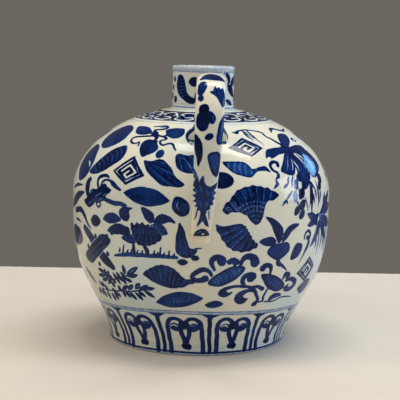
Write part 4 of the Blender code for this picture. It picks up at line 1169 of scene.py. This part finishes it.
def painted_porcelain(name, warm, cool, clay_pale, clay_dark, seed):
    """Glazed porcelain with cobalt painting, read from the numbers ink, wash, light, tone, vein and bare."""
    material = bpy.data.materials.new(name)
    material.use_nodes = True
    tree = material.node_tree
    tree.nodes.clear()
    place = add(tree, "ShaderNodeTexCoord").outputs["Object"]

    def noise(scale, detail=2.0):
        return add(tree, "ShaderNodeTexNoise", {"Vector": place, "W": seed, "Scale": scale, "Detail": detail},
                   noise_dimensions="4D").outputs["Fac"]

    def field(name):
        return add(tree, "ShaderNodeAttribute", attribute_name=name).outputs["Fac"]

    def math_of(operation, a, b=0.0, c=0.0):
        return add(tree, "ShaderNodeMath", {0: a, 1: b, 2: c}, operation=operation).outputs[0]

    def times(a, b):
        return math_of("MULTIPLY", a, b)

    def plus(a, b):
        return math_of("ADD", a, b)

    def times_plus(a, b, c):
        return math_of("MULTIPLY_ADD", a, b, c)

    def step(value, low, high, start=0.0, end=1.0):
        limits = {"From Min": low, "From Max": high, "To Min": start, "To Max": end}
        return add(tree, "ShaderNodeMapRange", {"Value": value, **limits},
                   interpolation_type="SMOOTHSTEP").outputs["Result"]

    # Edges: a fine noise makes each depth ragged before it is cut.
    ragged = times_plus(noise(900), 0.9, -0.45)
    inside = {key: plus(field(key), ragged) for key in ("ink", "wash", "light", "bare")}
    ink = step(inside["ink"], -0.30, 0.35)
    wash = step(inside["wash"], -0.45, 0.40)
    light = step(inside["light"], -0.25, 0.35)
    # Cobalt: streaks and pools in a wash, dense lines, thin places, and a halo where it bled.
    streak = math_of("COSINE", times_plus(field("vein"), 2 * math.pi, times(noise(260), 5.0)))
    pool = plus(times(noise(75, 3.0), 0.55), times(noise(420), 0.25))
    ridge = math_of("POWER", times_plus(streak, 0.5, 0.5), 3.0)
    tone = times(field("tone"), times_plus(ridge, -0.17, plus(pool, 0.62)))
    line = times(ink, times_plus(pool, 0.35, 0.76))
    cobalt = times(math_of("MAXIMUM", line, times(wash, tone)), times_plus(light, -0.62, 1.0))
    halo = step(math_of("MAXIMUM", inside["ink"], inside["wash"]), -2.2, 0.2, 0.0, 0.07)
    cobalt = math_of("MAXIMUM", cobalt, halo)

    # Colour: glaze that drifts from warm to cool, cobalt on it, rare iron specks, and bare clay.
    drift = blend(tree, step(noise(14), 0.36, 0.66), colour(warm), colour(cool))
    painted = blend(tree, step(cobalt, 0.0, 0.16), drift, ramp(tree, cobalt, COBALT))
    speck = add(tree, "ShaderNodeTexVoronoi", {"Vector": place, "Scale": 75.0})
    rare = add(tree, "ShaderNodeSeparateColor", {"Color": speck.outputs["Color"]}).outputs["Red"]
    dot = times(step(speck.outputs["Distance"], 0.045, 0.02), step(rare, 0.80, 0.82))
    specked = blend(tree, times(dot, 0.6), painted, colour(IRON_SPECK))
    naked = step(inside["bare"], -0.5, 0.5)
    clay = blend(tree, step(noise(130, 4.0), 0.35, 0.7), colour(clay_pale), colour(clay_dark))
    final = blend(tree, naked, specked, clay)

    # Relief: the glaze swells and peels a little, is pitted at specks, and bare clay is gritty and rough.
    height = plus(plus(times(noise(55), 0.8), times(noise(280), 0.36)),
                  plus(times(dot, -0.35), times(times(noise(1800, 3.0), naked), 0.5)))
    bump = add(tree, "ShaderNodeBump", {"Height": height, "Strength": 0.35, "Distance": 0.0012})
    rough = plus(times(naked, 0.62), times_plus(noise(90, 3.0), 0.06, 0.045))
    shader = add(tree, "ShaderNodeBsdfPrincipled", {
        "Base Color": final, "Roughness": rough, "IOR": GLASS_INDEX, "Specular IOR Level": GLAZE_SHINE,
        "Normal": bump.outputs["Normal"]})
    add(tree, "ShaderNodeOutputMaterial", {"Surface": shader.outputs[0]})
    return material


# %% Three recipes: name, warm and cool glaze, pale and dark clay, seed of the noise
glaze, strap_glaze_painted_lighter, foot_glaze = (painted_porcelain(*recipe) for recipe in [
    ("underglaze_cobalt_porcelain", "#d0ccba", "#bfcac5", "#a3967f", "#6f675c", 1.0),
    # The strap's glaze is a little yellower than the body's, its own colour, and is also painted lighter as
    # light the strap catches; its clay is painted much lighter, as light on the bare tip.
    ("strap_cobalt_porcelain", "#d9d2be", "#c6c6b8", "#f9edd0", "#edd6a2", 4.0),
    ("foot_of_bare_and_glazed_porcelain", "#cac6b6", "#bac2bd", "#b9a68e", "#857a6c", 7.0)])
print("materials:", glaze.name, strap_glaze_painted_lighter.name, foot_glaze.name)

# %% [markdown]
# ## The body in five rings
# One wheel-thrown wall is one surface, but a mesh that is fine enough to carry the painting is kept in
# rings of under two hundred thousand triangles. Neighbours end on the same line with the same normals, so
# no seam shows. Each ring is a closed wall with an inner skin. A faint inward ripple is the thrower's hand.

# %% Turned wall
FOOT_SHIFT, FOOT_SHIFT_END = 2.1, 75.0
INNER_ROWS = 14
INNER_TOP = 208.8


def turned(radius, height, columns):
    """Turns an outline round the axis: x is radius times sine, y is minus radius times cosine.

    The foot was trimmed a little off centre. So x also moves to the left, by the square of the depth
    under a height where the move begins.
    """
    angle = np.radians(degrees_round(columns))
    shift = FOOT_SHIFT * np.clip(1 - height / FOOT_SHIFT_END, 0, 1) ** 2
    return np.stack([radius * np.sin(angle) - shift, -radius * np.cos(angle), height + 0 * radius * angle],
                    axis=-1)


def ripple(angle, height):
    """How far a place lies inside the true form: low waves round the pot and low rings up it."""
    angle = np.radians(angle)
    waves = np.sin(3 * angle + height / 31) + np.sin(height / 6.3 + 0.4 * np.sin(angle))
    return 0.05 * (2 + waves)


def turned_canvas(up, columns, radius):
    """A blank canvas for a turned piece: a column of places up, and the radius or radii of the painting."""
    east = degrees_round(columns)[None] + np.zeros((len(up), 1))
    return blank_canvas(east, up[:, None] + np.zeros_like(east), radius + np.zeros_like(east))


def body_ring(name, start, end, rows, columns, node):
    """One ring of the body between two places up the wall, painted, with its inner skin."""
    length = np.linspace(start, end, rows)
    canvas = turned_canvas(length, columns, girth_at(length)[:, None])
    paint(canvas, BODY_MARKS, girth_at, turns=(0, 180))
    paint(canvas, SHOULDER_MARKS, girth_at)
    paint(canvas, FOOT_MARKS, girth_at, up=dipped(canvas))
    height = height_at(canvas["up"])
    outer = turned(canvas["radius"] - ripple(canvas["east"], height), height, columns)
    inner_height = np.linspace(float(height_at(end)), float(height_at(start)), INNER_ROWS)
    inner_height = np.minimum(inner_height, INNER_TOP)
    inner = turned(body_radius(inner_height, WALL)[:, None], inner_height[:, None], columns)
    make_piece(name, np.concatenate([outer, inner]), painted_fields(canvas, INNER_ROWS), glaze,
               [node], breaks=(rows,), strips=4)


# %% The five rings
FOOT_TOP = 10.0
BODY_JOINT = 96.0

for ring_name, start, end, rows, columns, node in [
        ("foot_border_wall", length_at(FOOT_TOP), 58.0, 76, 960, "lower_body"),
        ("waist_wall", 58.0, length_at(BODY_JOINT), 72, 1120, "lower_body"),
        ("belly_wall", length_at(BODY_JOINT), 155.0, 74, 1120, "upper_body"),
        ("upper_belly_wall", 155.0, 208.0, 74, 1120, "upper_body"),
        ("shoulder_wall", 208.0, float(LENGTHS[-1]), 104, 800, "upper_body")]:
    body_ring(ring_name, start, end, rows, columns, node)

# %% [markdown]
# ## Neck and lip
# The neck is thrown as a short tube and luted on with a soft fillet of slip. Its lip is a thin rolled
# edge, the place where such a pot is always nicked: a few shallow flakes show grey clay.

# %% Neck
NECK_TOP = 248.0
NECK_COLUMNS, NECK_ROWS, BORE_ROWS = 400, 60, 16
FILLET, FILLET_TOP = 3.4, 217.2
BORE_END = 206.5


def neck_radius_of(up):
    """The neck's painting radius, the same at every height."""
    return np.full(np.shape(up), NECK_RADIUS)


fillet = np.radians(np.linspace(88, 0, 8))
neck_r = np.concatenate([NECK_RADIUS + FILLET - FILLET * np.cos(fillet), np.full(NECK_ROWS, NECK_RADIUS)])
neck_z = np.concatenate([FILLET_TOP - FILLET * np.sin(fillet),
                         np.linspace(FILLET_TOP + 0.4, NECK_TOP, NECK_ROWS)])
neck_canvas = turned_canvas(neck_z, NECK_COLUMNS, NECK_RADIUS)
paint(neck_canvas, NECK_MARKS, neck_radius_of, turns=(0, 180))
paint(neck_canvas, NECK_LINES_AND_LIP_SHADOW, neck_radius_of)
bore_z = np.linspace(NECK_TOP, BORE_END, BORE_ROWS)
neck_grid = np.concatenate([turned(neck_r[:, None], neck_z[:, None], NECK_COLUMNS),
                            turned(np.full((BORE_ROWS, 1), NECK_BORE), bore_z[:, None], NECK_COLUMNS)])
make_piece("painted_neck", neck_grid, painted_fields(neck_canvas, BORE_ROWS), glaze,
           ["neck", "neck_collar"], breaks=(len(neck_z),), strips=4)

# %% Lip
LIP_COLUMNS = 480
LIP_BEND = 250.3

around = np.radians(np.linspace(0, 180, 22))
lip_r = np.concatenate([np.linspace(28.5, 28.95, 8), 26.2 + 2.8 * np.cos(around), np.linspace(23.45, 24, 8)])
lip_z = np.concatenate([np.linspace(NECK_TOP, LIP_BEND, 8), LIP_BEND + 0.3 + 2.6 * np.sin(around),
                        np.linspace(LIP_BEND, NECK_TOP, 8)])
lip_canvas = turned_canvas(lip_z, LIP_COLUMNS, 29.0)
paint(lip_canvas, [*NECK_LINES_AND_LIP_SHADOW, ring(251, 6, tone=0.15)], neck_radius_of)
# Grey-blue patches on the lip: the darkest, in front, is a stain; the paler ones are painted shade on the
# rolled lip.
lip_stains_and_shade = [leaf((a, b), (c, d), wide, blunt=0.7, tone=tone, edge=0) for a, b, c, d, wide, tone in [
    (-74, 251.2, -40, 251.6, 2.6, 0.4), (-44, 251.6, -12, 252, 3.4, 0.55), (8, 251, 40, 251.2, 2, 0.16),
    (-120, 251.4, -92, 252, 2.6, 0.25), (120, 251.4, 160, 251.8, 2.4, 0.25)]]
paint(lip_canvas, lip_stains_and_shade, neck_radius_of)

# %% Nicks
NICKS = [(-58, 252.7, 2.0, 0.6), (-33, 253.2, 2.6, 0.8), (-12, 252.9, 3.0, 0.8), (16, 253.3, 1.8, 0.6),
         (49, 253.0, 2.4, 0.7), (71, 252.8, 1.8, 0.5), (118, 253.1, 2.8, 0.8), (171, 253.2, 2.2, 0.6),
         (-140, 253.0, 2.6, 0.7), (-95, 253.1, 1.8, 0.5)]

dent = np.zeros(lip_canvas["up"].shape)
for east, up, wide, deep in NICKS:
    reach = np.hypot(np.radians((lip_canvas["east"] - east + 180) % 360 - 180) * 28.6,
                     (lip_canvas["up"] - up) * 1.3 + (lip_r[:, None] - 28.2) * 0.8)
    dent = np.maximum(dent, deep * np.clip(1 - (reach / wide) ** 2, 0, 1))
    lip_canvas["bare"] = np.maximum(lip_canvas["bare"], wide * 0.55 - reach)
print(len(NICKS), f"nicks, the deepest {dent.max():.2f} mm")

# Nicks go in from the side, and from above only on the upper half of the roll.
lip_grid = turned(lip_r[:, None] - 0.35 * dent, lip_z[:, None] - 0.6 * dent * (lip_z[:, None] > 251),
                  LIP_COLUMNS)
make_piece("rolled_lip", lip_grid, painted_fields(lip_canvas), glaze, ["mouth_rim"], strips=2)

# %% [markdown]
# ## Foot ring and floor
# The foot is trimmed on the wheel, wiped free of glaze where it stands, and burnt a warm tan there. The
# recessed floor keeps the fine rings of the trimming tool under a thin glaze.

# %% Foot ring
FOOT_COLUMNS = 960
FOOT_BEND = 1.5
FOOT_INSIDE, FOOT_OUTSIDE = 69.5, 81.0

corner = np.radians(np.linspace(0, 90, 7))
outer_z = np.linspace(1.8, FOOT_TOP, 16)
foot_r = np.concatenate([np.full(10, FOOT_INSIDE), FOOT_INSIDE + FOOT_BEND - FOOT_BEND * np.cos(corner),
                         np.linspace(71.6, 79.9, 10), 80.5 + FOOT_BEND * np.sin(corner),
                         body_radius(outer_z) - 0.1])
foot_z = np.concatenate([np.linspace(FOOT_TOP, 1.9, 10), FOOT_BEND - FOOT_BEND * np.sin(corner), np.zeros(10),
                         FOOT_BEND - FOOT_BEND * np.cos(corner), outer_z])
foot_canvas = turned_canvas(foot_z, FOOT_COLUMNS, 82.5)
paint(foot_canvas, FOOT_MARKS, girth_at, up=dipped(foot_canvas))

# Only the outer face is painted. Glaze stops just over the ground outside and higher up inside.
outside = foot_r[:, None] > FOOT_OUTSIDE
for field in ("ink", "wash"):
    foot_canvas[field] = np.where(outside, foot_canvas[field], OUTSIDE)
foot_canvas["bare"] = np.where(outside, 0.9, 4.0) - foot_canvas["up"]
foot_grid = turned(foot_r[:, None], foot_z[:, None], FOOT_COLUMNS)
make_piece("trimmed_foot", foot_grid, painted_fields(foot_canvas), foot_glaze,
           ["foot_ring"], strips=4)

# %% Floor
DISC_COLUMNS = 240
DISC_RADIUS, DISC_UNDER, DISC_TOP = 77.2, 10.5, 17.3

under_r = np.linspace(0, DISC_RADIUS, 60)
disc_r = np.concatenate([under_r, np.linspace(DISC_RADIUS, 0, 40)])
disc_z = np.concatenate([DISC_UNDER + 0.12 * np.sin(under_r * 1.4), np.full(40, DISC_TOP)])
disc_canvas = turned_canvas(disc_z, DISC_COLUMNS, 40.0)
disc_grid = turned(disc_r[:, None], disc_z[:, None], DISC_COLUMNS)
make_piece("recessed_floor", disc_grid, painted_fields(disc_canvas), foot_glaze,
           ["base_disc"], closed=False, breaks=(len(under_r),), strips=2)

# %% [markdown]
# ## Strap handle
# The strap is a pulled or pressed ribbon with rounded edges. It springs from the shoulder with a spread
# root, rises to the lip's height and comes down to a tail that is pressed on the belly. Its centre line is
# one smooth path, and its section is an ellipse that narrows on the way down.

# %% Paths


def even_path(stops, step):
    """A smooth path through (out, up) stops, with places at even distances and their directions."""
    fine = smooth(stops, 40)
    lengths = np.concatenate([[0], np.cumsum(np.hypot(*np.diff(fine, axis=0).T))])
    distance = np.arange(0, lengths[-1] + step / 2, step).clip(0, lengths[-1])
    places = np.stack([np.interp(distance, lengths, fine[:, k]) for k in (0, 1)], axis=-1)
    heading = np.gradient(places, axis=0)
    return distance, places, heading / np.linalg.norm(heading, axis=1, keepdims=True)


def swept(line, heading, wide, thick, columns):
    """An ellipse carried along a path of (out, up) places: how far each place lies across, out and up."""
    turn = np.radians(degrees_round(columns))[None]
    lift = np.cos(turn) * thick / 2
    return -np.sin(turn) * wide / 2, line[:, :1] - heading[:, 1:] * lift, line[:, 1:] + heading[:, :1] * lift


def eased(share):
    """Goes from 0 to 1 with level ends."""
    share = np.clip(share, 0, 1)
    return share * share * (3 - 2 * share)


# %% The strap's centre line and widths
STRAP_WIDTH, STRAP_TAIL_WIDTH, STRAP_ROOT_WIDTH = 23.5, 15.4, 35.0
STRAP_FLATNESS, STRAP_THICKEST, STRAP_SLACK = 0.46, 26, 0.7
ROOT_HEIGHT, TAIL_HEIGHT = 193.0, 110.0
CREST, REACH = 249.5, 160.0
ROOT_DEPTH, ROOT_SPREAD = 10.0, 15

root, tail = float(body_radius(ROOT_HEIGHT)), float(body_radius(TAIL_HEIGHT))
half = STRAP_WIDTH * STRAP_FLATNESS / 2
out, top = REACH - half, CREST - half
stops = [(root - 0.35 * ROOT_DEPTH, ROOT_HEIGHT - ROOT_DEPTH)]
stops += [(root + a * (out - root), ROOT_HEIGHT + b * (top - ROOT_HEIGHT)) for a, b in [
    (0, 0.10), (0.06, 0.47), (0.25, 0.85), (0.5, 1.0), (0.79, 0.88), (0.95, 0.54), (1.0, 0.06)]]
stops += [(tail + a * (out - tail), TAIL_HEIGHT + b * (top - TAIL_HEIGHT))
          for a, b in [(0.96, 0.43), (0.76, 0.25), (0.40, 0.095)]]
stops += [(tail, TAIL_HEIGHT), (tail - ROOT_DEPTH, TAIL_HEIGHT - ROOT_DEPTH)]
strap_d, strap_line, strap_heading = even_path(stops, 0.55)
whole = strap_d[-1]
tail_end = whole - ROOT_DEPTH * math.sqrt(2)
narrowing = np.clip((strap_d - whole / 2) / (tail_end - whole / 2), 0, 1)
strap_wide = STRAP_WIDTH + (STRAP_TAIL_WIDTH - STRAP_WIDTH) * narrowing
strap_wide += (STRAP_ROOT_WIDTH - STRAP_WIDTH) * (1 - eased((strap_d - ROOT_DEPTH) / ROOT_SPREAD))
strap_thick = np.minimum(strap_wide, STRAP_THICKEST) * STRAP_FLATNESS - STRAP_SLACK
print(f"strap centre line {whole:.1f} mm")

# %% Strap mesh
STRAP_COLUMNS = 112
STRAP_LEAN = 6.3

shown = (strap_d > 3) & (strap_d < tail_end + 7)
strap_d, strap_line, strap_heading = strap_d[shown], strap_line[shown], strap_heading[shown]
strap_wide, strap_thick = strap_wide[shown, None], strap_thick[shown, None]
side, strap_out, strap_up = swept(strap_line, strap_heading, strap_wide, strap_thick, STRAP_COLUMNS)
lean = STRAP_LEAN * (1 - (1 - np.clip((strap_up - TAIL_HEIGHT) / (CREST - TAIL_HEIGHT), 0, 1)) ** 1.5)
strap_grid = np.stack([side + lean, -strap_out, strap_up], axis=-1)
middle = strap_grid.mean(axis=1, keepdims=True)
strap_grid = np.concatenate([0 * strap_grid[:1] + middle[:1], strap_grid, 0 * strap_grid[-1:] + middle[-1:]])

# %% Painting of the strap
FLAT_RADIUS = math.degrees(1)
TIP_GLAZE_END = 237


def flat_radius(up):
    """On the strap a degree stands for a millimetre, so its radius is one radian's worth of degrees."""
    return np.full(np.shape(up), FLAT_RADIUS)


# Past the ribbon's edges the way round goes on growing, so front and back never share a place.
front = np.cos(np.radians(degrees_round(STRAP_COLUMNS))) >= 0
across = np.where(front, side, np.sign(side) * strap_wide - side)
down = strap_d[:, None] + 0 * across
across, down = (np.pad(places, ((1, 1), (0, 0)), mode="edge") for places in (across, down))
strap_canvas = blank_canvas(across, down, np.full(down.shape, FLAT_RADIUS))
paint(strap_canvas, STRAP_MARKS, flat_radius)

# Clay shows where the glaze is worn: fully at the tip, and faintly along the left edge. Its clay colour is
# painted lighter, as light falling on the tip.
worn_tip = np.minimum((down - TIP_GLAZE_END) / 7, -0.05)
worn_edge = (-across - 6.6) * 0.5 - np.maximum(0, 216 - down) * 0.1
strap_canvas["bare"] = np.maximum(worn_tip, np.minimum(worn_edge, 0.1))
make_piece("strap_handle", strap_grid, painted_fields(strap_canvas), strap_glaze_painted_lighter,
           ["handle_root", "handle_loop", "handle_tail"], closed=False)

# %% [markdown]
# ## Spout
# The spout is rolled and thrown as a tapering tube, bent while soft and luted over a hole in the belly.
# One closed surface goes up outside, over the lip and down the bore.

# %% The spout's centre line and radius
SPOUT_ROOT, SPOUT_TIP = 16.5, 8.5
SPOUT_WALL, SPOUT_LIP = 3.2, 6.0
SPOUT_FOOT_HEIGHT, SPOUT_TOP_HEIGHT, SPOUT_DEPTH = 136.0, 240.0, 22.0

root = float(body_radius(SPOUT_FOOT_HEIGHT))
rise_all = SPOUT_TOP_HEIGHT - SPOUT_FOOT_HEIGHT
bends = [(0, 0), (0.46, 0.17), (0.66, 0.42), (0.72, 0.70), (1, 1)]
run, lift = 0.28 * (REACH - SPOUT_TIP - root), 0.30 * rise_all
tip_out = REACH - (SPOUT_TIP + 0.6) * lift / math.hypot(run, lift)
stops = [(root - SPOUT_DEPTH, SPOUT_FOOT_HEIGHT - SPOUT_DEPTH / 2)]
stops += [(root + a * (tip_out - root), SPOUT_FOOT_HEIGHT + b * rise_all) for a, b in bends]
spout_d, spout_line, spout_heading = even_path(stops, 0.5)
whole = spout_d[-1]
inside = SPOUT_DEPTH * math.hypot(1, 0.5)


def spout_radius(distance):
    """Outer radius: tapering fast out of the body and slowly to the tip."""
    share = np.clip((np.asarray(distance, float) - inside) / (whole - inside), 0, 1)
    return SPOUT_TIP + (SPOUT_ROOT - SPOUT_TIP) * (1 - share) ** 1.6


# %% Spout mesh and painting
SPOUT_COLUMNS = 144
BEAD_RADIUS, BEAD_ROWS = 2.15, 14

bead_start = whole - 2.2
outer_d = np.arange(0.5 * inside, bead_start, 0.62)
collar = 5.0 * (1 - eased((outer_d - inside) / 12))
swell = 1.1 * eased((outer_d - whole + SPOUT_LIP + 3) / 4)
bead = np.radians(np.linspace(0, 180, BEAD_ROWS))
bore_d = np.linspace(bead_start, 0.5 * inside, 50)
row_d = np.concatenate([outer_d, bead_start + 2.0 * np.sin(bead), bore_d])
row_r = np.concatenate([spout_radius(outer_d) + collar + swell,
                        SPOUT_TIP + 1.1 - BEAD_RADIUS + BEAD_RADIUS * np.cos(bead),
                        spout_radius(bore_d) - SPOUT_WALL])[:, None]
line, heading = (np.stack([np.interp(row_d, spout_d, values[:, k]) for k in (0, 1)], axis=-1)
                 for values in (spout_line, spout_heading))
spout_grid = np.stack(swept(line, -heading, 2 * row_r, 2 * row_r, SPOUT_COLUMNS), axis=-1)
spout_canvas = turned_canvas(row_d, SPOUT_COLUMNS, row_r)
paint(spout_canvas, SPOUT_MARKS, spout_radius)
for field in ("ink", "wash"):
    spout_canvas[field][len(outer_d) + BEAD_ROWS // 2:] = OUTSIDE
make_piece("pouring_spout", spout_grid, painted_fields(spout_canvas), glaze,
           ["spout_root", "spout", "spout_lip"])
